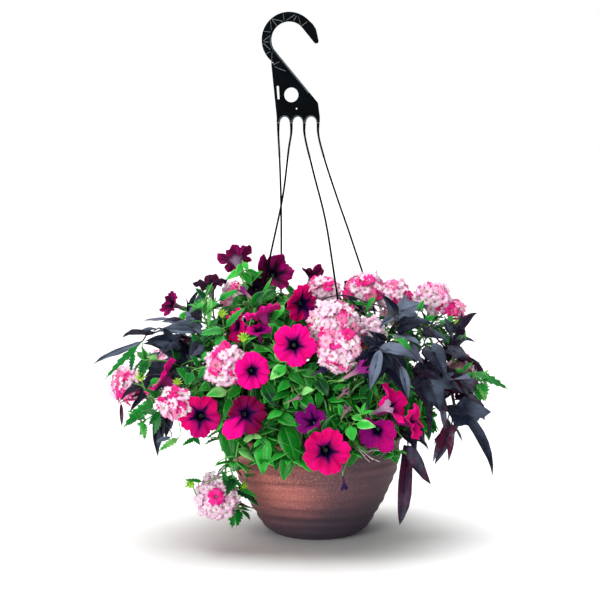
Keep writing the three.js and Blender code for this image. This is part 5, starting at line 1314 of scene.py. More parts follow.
def pot_radius(height):
    rows = np.array(POT_OUTSIDE + [(RIM_RADIUS, 134), (RIM_RADIUS, RIM_TOP)], float)
    return np.interp(height, rows[:, 1], rows[:, 0])


def is_blocked(points, front=16.0):
    """Whether any of the points is in or just in front of an open flower, in a head, or in the pot's wall."""
    p = np.asarray(points, float).reshape(-1, 3)
    for centre, axis, radius in flowers:
        d = p - centre
        h = d @ axis
        r = np.linalg.norm(d - h[:, None] * axis, axis=1)
        in_bloom = (r < radius * 0.96) & (h > -radius * 0.22) & (h < front)
        in_tube = (r < radius * 0.25) & (h > -radius) & (h < 0)
        if (in_bloom | in_tube).any():
            return True
    for centre, radius in heads:
        if (np.linalg.norm(p - centre, axis=1) < radius * 1.02).any():
            return True
    flat = np.hypot(p[:, 0], p[:, 1])
    return bool(((p[:, 2] < RIM_TOP + 1) & (flat < pot_radius(p[:, 2]) + 1.0)).any())


def family_of(plant):
    return plant.split("_")[0]


def nearest_plant(family, spot):
    """The plant of a family that a place belongs to. Plants spread outwards from their crowns."""
    crowns = {name: (x * 1.6, y * 1.6) for name, (x, y) in PLANTS.items() if name.startswith(family)}
    return min(crowns, key=lambda name: math.hypot(crowns[name][0] - spot[0], crowns[name][1] - spot[1]))


def nearest_stem(plant, spot):
    """The point of a plant's stems that is nearest to a place."""
    stems = np.concatenate([path[3:] for path in stem_paths[plant]])
    return stems[np.argmin(np.linalg.norm(stems - spot, axis=1))]


def stalk(plant, base, along, radius, behind=12.0, rise=3.0):
    """A leaf's stalk from the nearest stem of its plant."""
    start = nearest_stem(plant, base - unit(along) * behind)
    middle = (start + base) / 2 + [0, 0, rise]
    path = smooth_path([start, middle, base - unit(along) * 3, base + unit(along) * 2], 4.0)
    pieces[plant].tube(path, np.linspace(radius, radius * 0.75, len(path)), 6, STEM_SLOT, 0.8, skip=2)


def leafy(plant, base, way, size, draw, tint=None):
    """A leaf of a petunia or verbena from a stem. It is left out where it would cross a flower or the pot."""
    family = family_of(plant)
    way = unit(way)
    droop = draw.uniform(0.0, 0.18)
    fall = np.array([0, 0, -droop * size])
    wide = size * (draw.uniform(0.46, 0.58) if family == "petunia" else draw.uniform(0.5, 0.62))
    face = unit(way * -0.3 + draw.normal(0, 0.22, 3) + [0, -0.25, 1])
    face = face - way * face.dot(way)
    if np.linalg.norm(face) < 0.2:
        face = np.array([way[1], -way[0], 0.2])
    side = np.cross(way, unit(face))
    spots = [base + way * size * s + fall * s * s for s in (0.25, 0.5, 0.75, 1.0)]
    spots += [base + way * size * 0.5 + side * k * wide * 0.45 for k in (-1, 1)]
    if is_blocked(spots):
        return False
    tint = draw.uniform(0, 1) if tint is None else tint
    kind = "toothed" if family == "verbena" else "ovate"
    fold = draw.uniform(0.04, 0.16)
    blade(pieces[plant], kind, base, base + way * size, wide, face, tint, draw, fold=fold, droop=droop)
    return True


def dress_stem(plant, path, draw, first, spacing, size, side_turn=2.4):
    """Leaves along a stem from a share of its length to its end."""
    length = len(path) * PATH_STEP
    place = first * length
    turn = draw.uniform(0, 6)
    while place < length - 4:
        i = min(int(place / PATH_STEP), len(path) - 2)
        way = unit(path[i + 1] - path[i])
        one, _ = across(way, turn)
        leaf_way = one + way * draw.uniform(0.3, 0.8) + [0, 0, 0.12]
        leafy(plant, path[i], leaf_way, size * draw.uniform(0.75, 1.15), draw)
        turn += side_turn
        place += spacing * draw.uniform(0.8, 1.2)


def calyx(piece, foot, facing, draw, reach):
    """Five narrow sepals that hold a flower's tube."""
    one, two = across(facing, draw.uniform(0, 6))
    for k in range(5):
        aside = around(k * TURN / 5, one, two)
        start = foot - facing * 2 + aside * 1.4
        end = start + facing * reach + aside * reach * draw.uniform(0.25, 0.5)
        blade(piece, "ovate", start, end, 3.4, aside, draw.uniform(0, 1), draw, arch=-0.05, fold=0.1)
    piece.blob(foot - facing * 1.5, facing, (2.6, 4.0), STEM_SLOT)


def bud(piece, base, way, size):
    """A green verbena bud: a small rosette of points."""
    way = unit(way)
    one, two = across(way, 0)
    piece.blob(base + way * 3 * size, way, (4.2 * size, 4.6 * size), BUD_SLOT, rows=6, sides=9)
    for k in range(16):
        spread = 0.25 + 0.75 * (k / 16)
        out = unit(way * (1.1 - spread) + around(k * 2.4, one, two) * spread)
        start = base + (way + out) * 3 * size
        ends = [start, start + out * 3.6 * size, start + out * 6.4 * size]
        piece.tube(ends, [1.1 * size, 0.9 * size, 0.1], 5, BUD_SLOT)


def funnel(piece, base, tip, wide, slot, draw):
    """A closed or faded bloom: a thin funnel with a crumpled mouth."""
    axis = unit(tip - base)
    length = np.linalg.norm(tip - base)
    first, second = across(axis, draw.uniform(0, 6))
    sides, rows = 30, 11
    a = np.arange(sides) * TURN / sides
    crumple = 0.16 * wave(a, 5, draw) + 0.128 * wave(a, 8, draw)
    t = np.linspace(0, 1, rows)[:, None]
    radius = wide / 2 * (0.20 + 0.24 * t + 0.56 * (np.maximum(0, t - 0.50) / 0.50) ** 1.5)
    reach = radius * (1 + crumple * t**2)
    rise = t * length + length * 0.10 * t**3 * np.sin(5 * a + 1.0)
    points = base + reach[..., None] * around(a, first, second) + rise[..., None] * axis
    piece.sheet("funnel", points, [grid(rows, sides, True)], (slot, slot), 0.4, in_threes(t, a / TURN, 0.0))


# Petunia flowers and their stems
by_node = {}
for i, (number, plant, centre, facing, radius, roll, tint, bloom) in enumerate(PETUNIAS):
    draw = np.random.default_rng(SEEDS["petunias"] + i)
    node = f"petunia_{number}"
    petunia(by_node.setdefault(node, Piece()), centre, facing, radius, roll, tint, draw, **bloom)
    facing = unit(facing)
    foot = centre - facing * (tube_length(radius) + 0.35)
    name = f"petunia_plant_{plant}"
    path = grow(name, flower_stem(name, foot, facing, node), (2.1, 1.3), 6, draw.uniform(0, 1))
    calyx(pieces[name], foot, facing, draw, radius * 0.55)
    dress_stem(name, path, draw, 0.42, 15.0, 36.0)
for node, piece in by_node.items():
    if "dark" in node:
        piece.make(f"{node}_bloom", [BURGUNDY, BURGUNDY_BACK, ANTHER], "burgundy_petals", node)
    else:
        piece.make(f"{node}_bloom", [MAGENTA, MAGENTA_BACK, ANTHER], "magenta_petals", node)

# Verbena heads and their stems
by_node = {}
for i, (number, plant, centre, facing, radius, fullness, heat) in enumerate(HEADS):
    draw = np.random.default_rng(SEEDS["heads"] + i)
    node = f"verbena_head_{number:02d}"
    verbena_head(by_node.setdefault(node, Piece()), centre, facing, radius, fullness, heat, draw)
    facing = unit(facing)
    name = f"verbena_plant_{plant}"
    way = flower_stem(name, centre - facing * (radius * 0.42), facing, node)
    path = grow(name, way, (1.9, 1.3), 6, draw.uniform(0, 1))
    dress_stem(name, path, draw, 0.35, 17.0, 32.0, side_turn=1.8)
for node, piece in by_node.items():
    piece.make(f"{node}_florets", [FLORET, CORE], "verbena_petals", node)

# Leafy shoots
for i, (name, way) in enumerate((name, way) for name, ways in SHOOTS.items() for way in ways):
    draw = np.random.default_rng(SEEDS["shoots"] + i)
    path = grow(name, from_crown(name, *way), (1.9, 1.0), 6, draw.uniform(0, 1))
    dress_stem(name, path, draw, 0.35, 11.0, 34.0)
    end = unit(path[-1] - path[-2])
    for k in range(5):
        one, _ = across(end, k * 2.4)
        size = 27 * draw.uniform(0.7, 1.1)
        leafy(name, path[-1], one + end * 0.35, size, draw, tint=draw.uniform(0.3, 0.9))

# Side shoots that fill the plants: each ends in a tuft of leaves on a shell round the pot's top. By family,
# the number of shoots, their first seed, the turn of the first, the lowest height, the spread of the heights
# and its power, the shell's radius, how fast it narrows away from a height, how much it varies and the size
# of the leaves.
FILL = {
    "petunia": (74, 700, 0.0, 146, 112, 1.1, 168, 0.0034, 150, (-14, 4), 33),
    "verbena": (26, 1700, 0.9, 165, 130, 1.0, 190, 0.005, 180, (-25, 10), 30),
}
for family, (count, seed, turn, lowest, spread, power, widest, narrowing, waist, stray, size) in FILL.items():
    for i in range(count):
        draw = np.random.default_rng(seed + i)
        angle = (i + 0.5) * GOLDEN_ANGLE + turn
        height = lowest + spread * (i * GOLDEN_SHARE % 1.0) ** power
        flat = widest - narrowing * (height - waist) ** 2 + draw.uniform(*stray)
        spot = np.array([flat * math.cos(angle), flat * math.sin(angle), height])
        if is_blocked([spot]):
            spot *= [0.84, 0.84, 1]
        name = nearest_plant(family, spot)
        out = unit([spot[0], spot[1], 0.6 * (height - 150)])
        mid = np.array([spot[0] * 0.55, spot[1] * 0.55, height * 0.72 + 40])
        path = grow(name, from_crown(name, mid, spot), (1.6, 0.9), 5, draw.uniform(0, 1))
        dress_stem(name, path, draw, 0.5, 12.0, size)
        for k in range(7):
            one, _ = across(out, k * 2.4 + draw.uniform(-0.3, 0.3))
            reach = size * draw.uniform(0.6, 1.1) * (1 - 0.06 * k)
            leafy(name, spot - out * k * 1.2, one * (1.0 - 0.09 * k) + out * (0.25 + 0.12 * k), reach, draw)

# Leaves inside the plants: how many are tried, and how far from a stem they may be
INNER_LEAVES = 230
LONGEST_INNER_STALK = 60


def inner_leaf(spot, out, plant, size, draw):
    """A leaf deep inside a plant, where one of its stems is near."""
    start = nearest_stem(plant, spot)
    if np.linalg.norm(start - spot) > LONGEST_INNER_STALK:
        return
    one, _ = across(out, draw.uniform(0, 6))
    # Leaves deep inside get only the darkest tints: painted shade.
    if leafy(plant, spot, one + out * 0.3, size, draw, tint=draw.uniform(0, 0.3)):
        middle = (start + spot) / 2 + [0, 0, 3.0]
        pieces[plant].tube(smooth_path([start, middle, spot]), 0.9, 5, STEM_SLOT, 0.2, skip=3)


for i in range(INNER_LEAVES):
    draw = np.random.default_rng(SEEDS["inner leaves"] + i)
    angle = (i + 0.5) * GOLDEN_ANGLE + 0.4
    height = 148 + 150 * (i * GOLDEN_SHARE % 1.0)
    flat = (138 - 0.0038 * (height - 165) ** 2) * draw.uniform(0.72, 1.0)
    spot = np.array([flat * math.cos(angle), flat * math.sin(angle), height])
    out = unit([spot[0], spot[1], 0.5 * (height - 150)])
    inner_leaf(spot, out, nearest_plant("petunia", spot), draw.uniform(36, 48), draw)
# Crowded places: plant, middle, reach, how many leaves. Each has seeds of its own, from where it is.
CROWDED = [
    ("petunia_plant_top", (-72, -34, 312), (58, 50, 34), 90),
    ("verbena_plant_left", (-118, -60, 270), (52, 50, 44), 60),
    ("verbena_plant_right", (110, 0, 285), (80, 45, 34), 60),
    ("petunia_plant_front_right", (70, -105, 215), (50, 40, 40), 50),
    ("petunia_plant_front_left", (-112, -118, 215), (56, 36, 40), 50),
    ("petunia_plant_back_right", (62, 66, 205), (60, 44, 40), 60),
    ("petunia_plant_back_left", (-62, 66, 205), (60, 44, 40), 60),
]
for name, middle, reach, count in CROWDED:
    for i in range(count):
        draw = np.random.default_rng(SEEDS["crowded places"] + (1000 + middle[0]) * 100 + i)
        out = unit(draw.normal(0, 1, 3) + [0, 0, 0.4])
        spot = np.array(middle) + out * reach * draw.uniform(0.4, 1.0) ** 0.5
        inner_leaf(spot, out, name, draw.uniform(26, 38), draw)

# Vines and their leaves
for name, ways in VINES.items():
    for way in ways:
        grow(name, from_crown(name, *way), (2.3, 1.3), 7, 0.5, skip=1)
for i, (name, row) in enumerate((name, row) for name, rows in VINE_LEAVES.items() for row in rows):
    draw = np.random.default_rng(SEEDS["vine leaves"] + i)
    kind, base, tip, width, face, red = row
    base, tip = np.array(base), np.array(tip)
    stalk(name, base, tip - base, 1.3, behind=14.0, rise=4.0)
    lobed(pieces[name], kind, base, tip, width, face, red + draw.uniform(0, 0.15), draw)

# Parts of the photo's view, in pixels, that no further vine leaf may cover from the front
KEPT_CLEAR = [(350, 325, 428, 404), (372, 286, 434, 332)]
# How much lower a place is seen for each mm that it is nearer
SLOPE = 0.096
# Ends of the room for further vine leaves, from side to side and from front to back
ROOM_LEFT, ROOM_RIGHT, ROOM_DEPTH = -312, 272, 205


def is_out_of_place(point):
    """Whether a further leaf here would cover one of the large leaves or reach out of the room for leaves."""
    x, y, z = point
    if not (ROOM_LEFT < x < ROOM_RIGHT and abs(y) < ROOM_DEPTH):
        return True
    scale = PIXEL * (1 + y / DISTANCE)
    px = PHOTO_MIDDLE + (x - AIM_X) / scale
    py = PHOTO_MIDDLE - (z - AIM_Z + SLOPE * y) / scale
    return y < 0 and any(x0 < px < x1 and y0 < py < y1 for x0, y0, x1, y1 in KEPT_CLEAR)


# Further vine leaves: how many each vine may have, and their width in parts of their length
EXTRA_VINE = {
    "vine_left": 13,
    "vine_right_upper": 14,
    "vine_right_front": 9,
    "vine_right_side": 18,
    "vine_back": 9,
}
WIDTHS = {"star": 1.0, "heart": 0.62, "lance": 0.3}
SEEDS_PER_VINE = 40
for vine, (name, count) in enumerate(EXTRA_VINE.items()):
    for i in range(count):
        draw = np.random.default_rng(SEEDS["further vine leaves"] + SEEDS_PER_VINE * vine + i)
        path = stem_paths[name][i % len(stem_paths[name])]
        start = path[int(len(path) * draw.uniform(0.45, 0.98))]
        out = unit([start[0], start[1], draw.uniform(-60, 120)] + draw.normal(0, 60, 3))
        base = start + out * draw.uniform(12, 26)
        size = draw.uniform(36, 56)
        tip = base + unit(out + draw.normal(0, 0.5, 3) + [0, 0, -0.35]) * size
        spots = [base, (base + tip) / 2, tip]
        if is_blocked(spots) or any(is_out_of_place(spot) for spot in spots):
            continue
        face = np.array([out[0] * 0.4, out[1] * 0.4 - 0.5, 0.8])
        stalk(name, base, tip - base, 1.1, behind=14.0, rise=4.0)
        kind = ["star", "heart", "star", "lance"][i % 4]
        lobed(pieces[name], kind, base, tip, size * WIDTHS[kind], face, draw.uniform(0, 0.4), draw)


# Leaves that the photo shows
def clear_depth(start_px, end_px, start_depth, end_depth):
    """How far back a seen leaf has to go so that no flower or head cuts it."""
    for back in (0, 6, 12, 20, 28, -8, 38, -16, 50, 64):
        start, end = seen(*start_px, start_depth + back), seen(*end_px, end_depth + back)
        if not is_blocked([start + (end - start) * s for s in (0, 0.3, 0.6, 1)], front=3.0):
            return back
    return 0


leaf_rows = ((name, kind, row) for name, kind, rows in SEEN_LEAVES for row in rows)
for i, (name, kind, row) in enumerate(leaf_rows):
    draw = np.random.default_rng(SEEDS["seen leaves"] + i)
    base_px, tip_px, width, base_depth, tip_depth, tint = row
    back = clear_depth(base_px, tip_px, base_depth, tip_depth)
    base, tip = seen(*base_px, base_depth + back), seen(*tip_px, tip_depth + back)
    face = draw.normal(0, 0.18, 3) + [0, -0.75, 0.65]
    wide = width * PIXEL * 0.95
    if family_of(name) == "vine":
        stalk(name, base, tip - base, 0.9)
        lobed(pieces[name], kind, base, tip, wide, face, tint, draw)
    else:
        stalk(name, base, tip - base, 0.8)
        blade(pieces[name], kind, base, tip, wide, face, tint, draw, fold=draw.uniform(0.04, 0.12), columns=5)

# Green buds of the verbenas: plant, place, way and size
BUDS = [
    ("verbena_plant_left", (-242, -132, 236), (-0.2, -0.3, 0.9), 1.0),
    ("verbena_plant_left", (-192, -140, 230), (0.1, -0.3, 0.9), 0.9),
    ("verbena_plant_left", (-120, -140, 236), (0.0, -0.4, 0.9), 0.9),
    ("verbena_plant_left", (-100, -150, 292), (0.0, -0.3, 0.95), 1.1),
    ("verbena_plant_left", (-132, -80, 318), (-0.1, -0.3, 0.95), 1.0),
    ("verbena_plant_left", (-172, -132, 88), (-0.6, -0.5, 0.6), 1.1),
    ("verbena_plant_left", (-104, -124, 86), (0.5, -0.7, 0.2), 0.8),
    ("verbena_plant_right", (200, -20, 300), (0.6, -0.3, 0.5), 0.8),
]
for i, (name, place, way, size) in enumerate(BUDS):
    draw = np.random.default_rng(SEEDS["buds"] + i)
    place = np.array(place, float)
    anchor = np.array([*PLANTS[name], SOIL_TOP + 30.0])
    foot = place + (anchor - place) * 0.5 + [0, 0, -18]
    path = smooth_path([foot, place + [0, 0, -22] + (anchor - place) * 0.08, place])
    pieces[name].tube(path, 1.0, 6, STEM_SLOT, 0.5)
    bud(pieces[name], place, way, size)
    dress_stem(name, path, draw, 0.3, 12.0, 22.0)

# Closed and faded blooms: plant, pixels of the tube's foot and of the mouth, width in pixels, depths and look
FADED = [
    ("front_centre", (341, 380), (366, 366), 13, -166, -178, "wilted"),
    ("front_centre", (285, 403), (300, 397), 5, -172, -180, "withered"),
    ("front_centre", (311, 375), (325, 369), 5, -172, -182, "dusky"),
    ("front_right", (337, 399), (347, 390), 7, -170, -178, "withered"),
    ("front_right", (341, 419), (347, 408), 8, -176, -184, "withered"),
    ("front_right", (343, 476), (345, 489), 7, -186, -186, "dusky"),
    ("front_right", (371, 414), (390, 405), 12, -206, -204, "lilac"),
    ("front_left", (254, 301), (241, 288), 8, -66, -60, "wilted"),
]
LOOKS = {"wilted": 4, "withered": 5, "lilac": 6, "dusky": 7}
for i, (plant, foot_px, mouth_px, wide, foot_depth, mouth_depth, look) in enumerate(FADED):
    draw = np.random.default_rng(SEEDS["faded blooms"] + i)
    name = f"petunia_plant_{plant}"
    foot, mouth = seen(*foot_px, foot_depth), seen(*mouth_px, mouth_depth)
    stalk(name, foot, mouth - foot, 0.9)
    funnel(pieces[name], foot, mouth, wide * PIXEL, LOOKS[look], draw)
    if look == "wilted":
        calyx(pieces[name], foot, unit(mouth - foot), draw, 8.0)

# Filaments left where petals have dropped: pixels of both ends. The last one has no stalk.
FILAMENTS = [
    ((360, 449), (373, 460)), ((361, 450), (380, 462)), ((358, 447), (370, 462)), ((386, 448), (391, 453)),
    ((354, 447), (365, 456)), ((368, 452), (380, 451)), ((341, 465), (343, 477)),
]
FILAMENT_DEPTHS = (-168, -176)
name = "petunia_plant_front_right"
for i, (start_px, end_px) in enumerate(FILAMENTS):
    draw = np.random.default_rng(SEEDS["filaments"] + i)
    start, end = seen(*start_px, FILAMENT_DEPTHS[0]), seen(*end_px, FILAMENT_DEPTHS[1])
    middle = (start + end) / 2 + [0, -2, draw.uniform(-3, 3)]
    pieces[name].tube(smooth_path([start, middle, end], 3.0), 0.5, 5, STRAW_SLOT, 0.4)
    if i < len(FILAMENTS) - 1:
        stalk(name, start, end - start, 0.8)

# Long dark stalks of a vine that arch in front of the plants: pixels of the way and depth
ARCHES = [
    ([(394, 313), (384, 307), (368, 303), (350, 296), (334, 296), (318, 301), (311, 305)], -44),
    ([(394, 314), (386, 322), (378, 322), (374, 306)], -70),
]
for way_px, depth in ARCHES:
    path = smooth_path([seen(*px, depth) for px in way_px], 5.0)
    pieces["vine_right_upper"].tube(path, np.linspace(1.3, 0.8, len(path)), 7, STEM_SLOT, 0.4)

# Looks of each family's plants, in the order of their slots
FADED_LOOKS = [WILTED, WITHERED, LILAC, DUSKY, STRAW]
FOLIAGE = {
    "petunia": ("petunia_green", [PETUNIA_LEAF, PETUNIA_LEAF_BACK, PETUNIA_STEM, BUD, *FADED_LOOKS]),
    "verbena": ("verbena_green", [VERBENA_LEAF, VERBENA_LEAF_BACK, VERBENA_STEM, BUD]),
    "vine": ("vine_leaves", [VINE_LEAF, VINE_LEAF_BACK, VINE_STEM]),
}
for name, piece in pieces.items():
    slot, looks = FOLIAGE[family_of(name)]
    piece.make(f"{name}_foliage", looks, slot, name)


# Pot, soil and hanger
def make_pot():
    """The turned bowl, with soft uneven rings in its wall."""
    outside = smooth_path([(r, 0, z) for r, z in POT_OUTSIDE], 2.2)
    inside = smooth_path([(r, 0, z) for r, z in POT_INSIDE])
    rows = [(0.0, POT_FOOT), (25.0, POT_FOOT), (44.0, POT_FOOT)] + [(r, z) for r, _, z in outside]
    wall = range(4, len(rows))
    rows += POT_LIP + [(r, z) for r, _, z in inside] + [(0.0, -2.0)]
    sides = 168
    a = np.arange(sides) * TURN / sides
    radius = np.repeat(np.array(rows)[:, :1], sides, 1)
    height = np.repeat(np.array(rows)[:, 1:], sides, 1)
    for i in wall:
        z = rows[i][1]
        hold = min(1.0, (z - POT_FOOT) / 14, (136 - z) / 10)
        drift = 1.6 * np.sin(a + 0.6) + 1.0 * np.sin(2 * a + 2.0) + 0.5 * np.sin(5 * a + z * 0.05)
        fine = np.array([noise.noise(Vector((2.2 * math.cos(t), 2.2 * math.sin(t), z * 0.13))) for t in a])
        ring = 0.7 * np.sin((z + drift) * TURN / 14.0) + 1.1 * fine
        radius[i] += hold * (ring - 0.4)
    piece = Piece()
    piece.add(in_threes(radius * np.cos(a), radius * np.sin(a), height), [grid(len(rows), sides, True)], 0)
    piece.make("pot_bowl", [POT], "pot", "pot")


def rough_field(points, scale):
    return np.array([noise.noise(Vector(p) * scale) for p in points])


def make_soil():
    """A crumbly top on a plain body that fills the pot."""
    rows = [(r, SOIL_TOP + 1.0) for r in (0.0, *np.linspace(4, 116.5, 30))]
    rows += [(115.5, 108.0), (96.0, 62.0), (62.0, 6.0), (0.0, 4.0)]
    sides = 96
    a = np.arange(sides) * TURN / sides
    points = np.concatenate([in_threes(r * np.cos(a), r * np.sin(a), z) for r, z in rows])
    top = points[:, 2] > SOIL_TOP
    lumps = rough_field(points[top], 0.09) * 2.4 + rough_field(points[top], 0.3) * 1.4
    points[top, 2] += np.where(np.hypot(*points[top, :2].T) < 1, 0, lumps)
    piece = Piece()
    piece.add(points, [grid(len(rows), sides, True)[:, ::-1]], 0)
    piece.make("soil_mix", [SOIL], "soil", "soil")


def hook_place(x, y, z):
    c, s = math.cos(HOOK_TURN), math.sin(HOOK_TURN)
    return np.array([HOOK_CENTRE[0] + x * c - y * s, HOOK_CENTRE[1] + x * s + y * c, HOOK_CENTRE[2] + z])


def arc(radius, start, end, steps, centre=(0, 0)):
    turn = np.radians(np.linspace(start, end, steps))
    return [(centre[0] + radius * math.cos(t), centre[1] + radius * math.sin(t)) for t in turn]


def sharpen(made, degrees):
    """Sharp edges wherever two faces meet at more than an angle."""
    made.modifiers.new("edges", "EDGE_SPLIT").split_angle = math.radians(degrees)


# Thin raised lines across the hook's band, coloured lighter as a painted highlight: both ends of each
HOOK_LINES = [
    ((-7.9, 37.3), (-6.6, 26.9)), ((-24.3, 29.6), (-8.5, 25.8)), ((-24.3, 29.1), (-17.2, 19.8)),
    ((-26.5, 27.4), (-24.9, 13.2)), ((-35.8, 12.1), (-26.5, 11)), ((-36.9, -1.7), (-26.5, 6)),
    ((-35.3, -3.1), (-28.7, -3.1)), ((-36.4, -5), (-26.5, -14.3)), ((-33.1, -20.3), (-27.1, -17)),
    ((-3, 27.4), (9, 35.1)), ((7.4, 26.3), (11.2, 33.5)), ((14, 33.5), (17.3, 20.3)),
    ((18.9, 19.2), (27.1, 25.2)), ((-22.7, -35.7), (-13.4, -31.3)), ((-20.5, -38.4), (-4.6, -44.5)),
    ((-24.3, -16.5), (-24.9, -34)),
]


def hook_rings():
    """The hook's outline with its holes, and the rounded tops of the arches at its foot."""
    feet = [row[1] for row in STRANDS]
    outer = [(34.4, 21.8), *arc(39.4, 44, 236, 57), (-25.5, -34.2), (-17.6, -111)]
    outer.append((feet[0] - FOOT_HALF, HOOK_FOOT))
    arches = []
    for foot, after in zip(feet, feet[1:]):
        middle = (foot + after) / 2
        half = (after - foot) / 2 - FOOT_HALF
        outer.append((foot + FOOT_HALF, HOOK_FOOT))
        outer += [(middle + x * half, HOOK_FOOT + z * 8.6) for x, z in arc(1.0, 180, 0, 13)[1:]]
        arches.append([(middle + x * (half + 1.1), HOOK_FOOT + z * 9.9) for x, z in arc(1.0, 172, 8, 11)])
    outer += [(feet[-1] + FOOT_HALF, HOOK_FOOT), (44.6, -110), (42, -90), *arc(25.6, 213, 44, 50)]
    outer += [(36.6, -4.4), (38.6, -6), (42, -5), (42.8, -2), (39, 14.5)]
    hole = arc(10.5, 0, 360, 41, (3.4, -78.4))[:-1]
    slot = [
        (-18.2, -66.5), (-17.2, -65.4), (-15.2, -65.4), (-14.4, -66.5),
        (-13.4, -83.6), (-14.1, -84.8), (-16, -84.8), (-17, -83.6),
    ]
    tiny = arc(1.4, 0, 360, 13, (11, -98))[:-1]
    return (outer, hole, slot, tiny), arches


def plate_mesh(rings, soft):
    """A flat plate with soft edges inside an outline, as a mesh."""
    curve = bpy.data.curves.new("hook_outline", "CURVE")
    curve.dimensions = "2D"
    curve.fill_mode = "BOTH"
    curve.extrude = (HOOK_HALF - soft) * MM
    curve.bevel_depth = soft * MM
    curve.bevel_resolution = 3
    curve.offset = -soft * MM
    for ring in rings:
        spline = curve.splines.new("POLY")
        spline.points.add(len(ring) - 1)
        for point, (x, z) in zip(spline.points, ring):
            point.co = (x * MM, z * MM, 0, 1)
        spline.use_cyclic_u = True
    temporary = bpy.data.objects.new("hook_outline", curve)
    bpy.context.scene.collection.objects.link(temporary)
    bpy.context.view_layer.update()
    evaluated = temporary.evaluated_get(bpy.context.evaluated_depsgraph_get())
    mesh = bpy.data.meshes.new_from_object(evaluated)
    bpy.data.objects.remove(temporary)
    bpy.data.curves.remove(curve)
    return mesh


def make_hook():
    """The flat hook with soft edges, and thin raised lines with a painted highlight on its band, arches and
    inner curve.
    """
    rings, arches = hook_rings()
    mesh = plate_mesh(rings, 0.7)
    co = np.zeros(len(mesh.vertices) * 3)
    mesh.vertices.foreach_get("co", co)
    points = [hook_place(x, y, z) for x, z, y in co.reshape(-1, 3) / MM]
    corners = [list(polygon.vertices) for polygon in mesh.polygons]
    bpy.data.meshes.remove(mesh)
    faces = [np.array([row for row in corners if len(row) == count])[:, ::-1] for count in (3, 4)]
    piece = Piece()
    piece.add(points, faces, 0)
    bars = [([start, np.add(start, end) / 2, end], 0.12, 0.5) for start, end in HOOK_LINES]
    bars += [(way, 0.1, 0.7) for way in arches]
    # A raised line along the inner edge of the hook's curve, with a painted highlight.
    bars.append(([*arc(26.5, 172, 213, 6), (8.6, -51.4), (28.8, -75.6)], 0.4, 0.9))
    for way, sunk, radius in bars:
        for face in (-1, 1):
            piece.tube([hook_place(x, face * (HOOK_HALF - sunk), z) for x, z in way], radius, 6, RIDGE_HIGHLIGHT_SLOT)
    sharpen(piece.make("hook_plate", [PLASTIC, RIDGE_HIGHLIGHT], "hanger", "hanger_hook"), 40)


def make_strand(name, foot, waypoints, turn):
    """A thin cord from the hook's foot to the lip, with a clip that grips the lip."""
    toward = around(math.radians(turn), np.array([1.0, 0, 0]), np.array([0, 1.0, 0]))
    start = hook_place(foot, 0, HOOK_FOOT - 0.35)
    flat_share = math.cos(math.pi / RIM_SIDES) / math.cos(CLIP_OFF)
    lip = RIM_RADIUS * flat_share
    below = WALL_RADIUS * flat_share
    outside = toward * (lip + 3)
    ends = [outside + [0, 0, RIM_TOP + 16], outside + [0, 0, RIM_TOP - 4]]
    path = smooth_path([start, start - [0, 0, 14.0], *waypoints, *ends], 5.0)
    radii = np.full(len(path), STRAND_RADIUS)
    radii[:5] = np.linspace(2.1, STRAND_RADIUS, 5)
    piece = Piece()
    piece.tube(path, radii, 12, 0)
    foot_z = RIM_TOP - 7
    rows = np.array([
        (lip + 0.35, RIM_TOP - 1), (lip + 1.2, RIM_TOP + 0.8), (lip + 4.4, RIM_TOP + 1), (lip + 5.5, RIM_TOP),
        (lip + 5.5, foot_z - 3.2), (lip + 4.7, foot_z - 4), (below + 0.35, foot_z - 3.4),
        (below + 0.35, foot_z - 0.35), (lip + 0.35, foot_z + 0.5),
    ])
    side = np.array([-toward[1], toward[0], 0])
    middle = rows.mean(0)
    rings = []
    for offset, inset in ((-4, 0.9), (-3.5, 0.97), (-3, 1.0), (3, 1.0), (3.5, 0.97), (4, 0.9)):
        for r, z in middle + (rows - middle) * inset:
            rings.append(toward * r + side * offset + [0, 0, z])
    n = len(rows)
    low = np.array([[0, k + 1, k] for k in range(1, n - 1)])
    high = np.array([[5 * n, 5 * n + k, 5 * n + k + 1] for k in range(1, n - 1)])
    piece.add(rings, [grid(6, n, True), low, high], 0)
    sharpen(piece.make(f"{name}_cord", [PLASTIC], "hanger", name), 50)


make_pot()
make_soil()
make_hook()
for row in STRANDS:
    make_strand(*row)


# Studio
def make_floor():
    """A white floor that reaches far past the camera's view."""
    mesh = bpy.data.meshes.new("studio_floor")
    half = 40.0
    corners = [(-half, -half, 0), (half, -half, 0), (half, half, 0), (-half, half, 0)]
    mesh.from_pydata(corners, [], [(0, 1, 2, 3)])
    paint = Paint("studio_white", (0.93, 0.93, 0.93), 0.9)
    paint.lay(paint.noise(1.0), (0.94, 0.94, 0.94))
    mesh.materials.append(paint.finish())
    floor = bpy.data.objects.new("studio_floor", mesh)
    bpy.context.scene.collection.objects.link(floor)


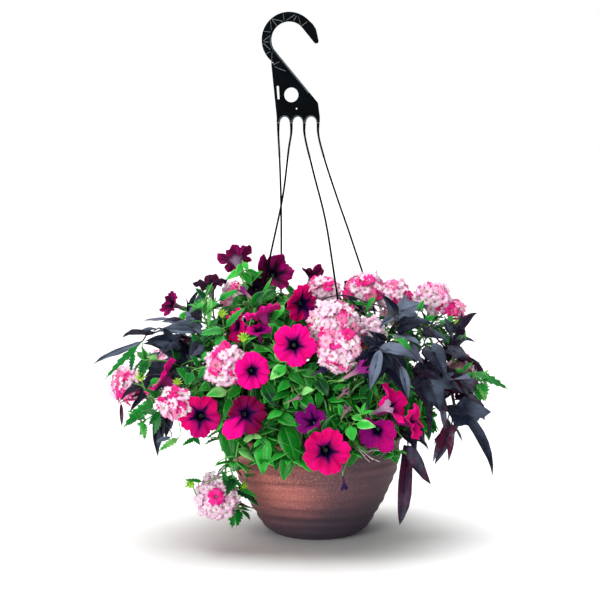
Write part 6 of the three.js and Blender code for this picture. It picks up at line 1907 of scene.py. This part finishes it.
def make_light(name, place, spread, power):
    """A large soft light that shines from the side of a place towards the middle."""
    light = bpy.data.lights.new(name, "SUN")
    light.angle = math.radians(spread)
    light.energy = power
    made = bpy.data.objects.new(name, light)
    made.location = place
    made.rotation_mode = "QUATERNION"
    made.rotation_quaternion = (-Vector(place)).to_track_quat("-Z", "Y")
    bpy.context.scene.collection.objects.link(made)


make_floor()
make_light("key", (-0.5, -1.0, 0.17), 35, 2.6)
make_light("top", (-0.03, 0.10, 1.0), 66, 3.9)

# Surroundings: white for the camera, and a soft light for the rest, brighter from above than from below
world = bpy.data.worlds.new("studio")
bpy.context.scene.world = world
world.use_nodes = True
nodes, links = world.node_tree.nodes, world.node_tree.links
soft = nodes["Background"]
soft.inputs[1].default_value = 1.0
from_middle = nodes.new("ShaderNodeTexCoord")
height = nodes.new("ShaderNodeSeparateXYZ")
links.new(from_middle.outputs["Generated"], height.inputs[0])
sky = nodes.new("ShaderNodeMapRange")
for key, value in {"From Min": -0.05, "From Max": 0.9, "To Min": 0.06, "To Max": 0.28}.items():
    sky.inputs[key].default_value = value
links.new(height.outputs[2], sky.inputs["Value"])
links.new(sky.outputs["Result"], soft.inputs[0])
white = nodes.new("ShaderNodeBackground")
white.inputs[0].default_value = (1, 1, 1, 1)
white.inputs[1].default_value = 1.0
ray = nodes.new("ShaderNodeLightPath")
both = nodes.new("ShaderNodeMixShader")
links.new(ray.outputs["Is Camera Ray"], both.inputs[0])
links.new(soft.outputs[0], both.inputs[1])
links.new(white.outputs[0], both.inputs[2])
links.new(both.outputs[0], nodes["World Output"].inputs["Surface"])

# Camera, fitted to the photo's view
camera = bpy.data.cameras.new("camera")
camera.sensor_width = SENSOR
camera.lens = SENSOR * (DISTANCE / PIXEL) / PHOTO_SIDE
camera.clip_start = 0.05
camera.clip_end = 100.0
eye = bpy.data.objects.new("camera", camera)
eye.location = (EYE + [0, 0, LIFT]) * MM
eye.rotation_euler = (math.pi / 2 - PITCH, 0, 0)
bpy.context.scene.collection.objects.link(eye)
bpy.context.scene.camera = eye
bpy.context.scene.view_settings.view_transform = "Standard"
bpy.context.scene.view_settings.look = "None"

bpy.context.view_layer.update()
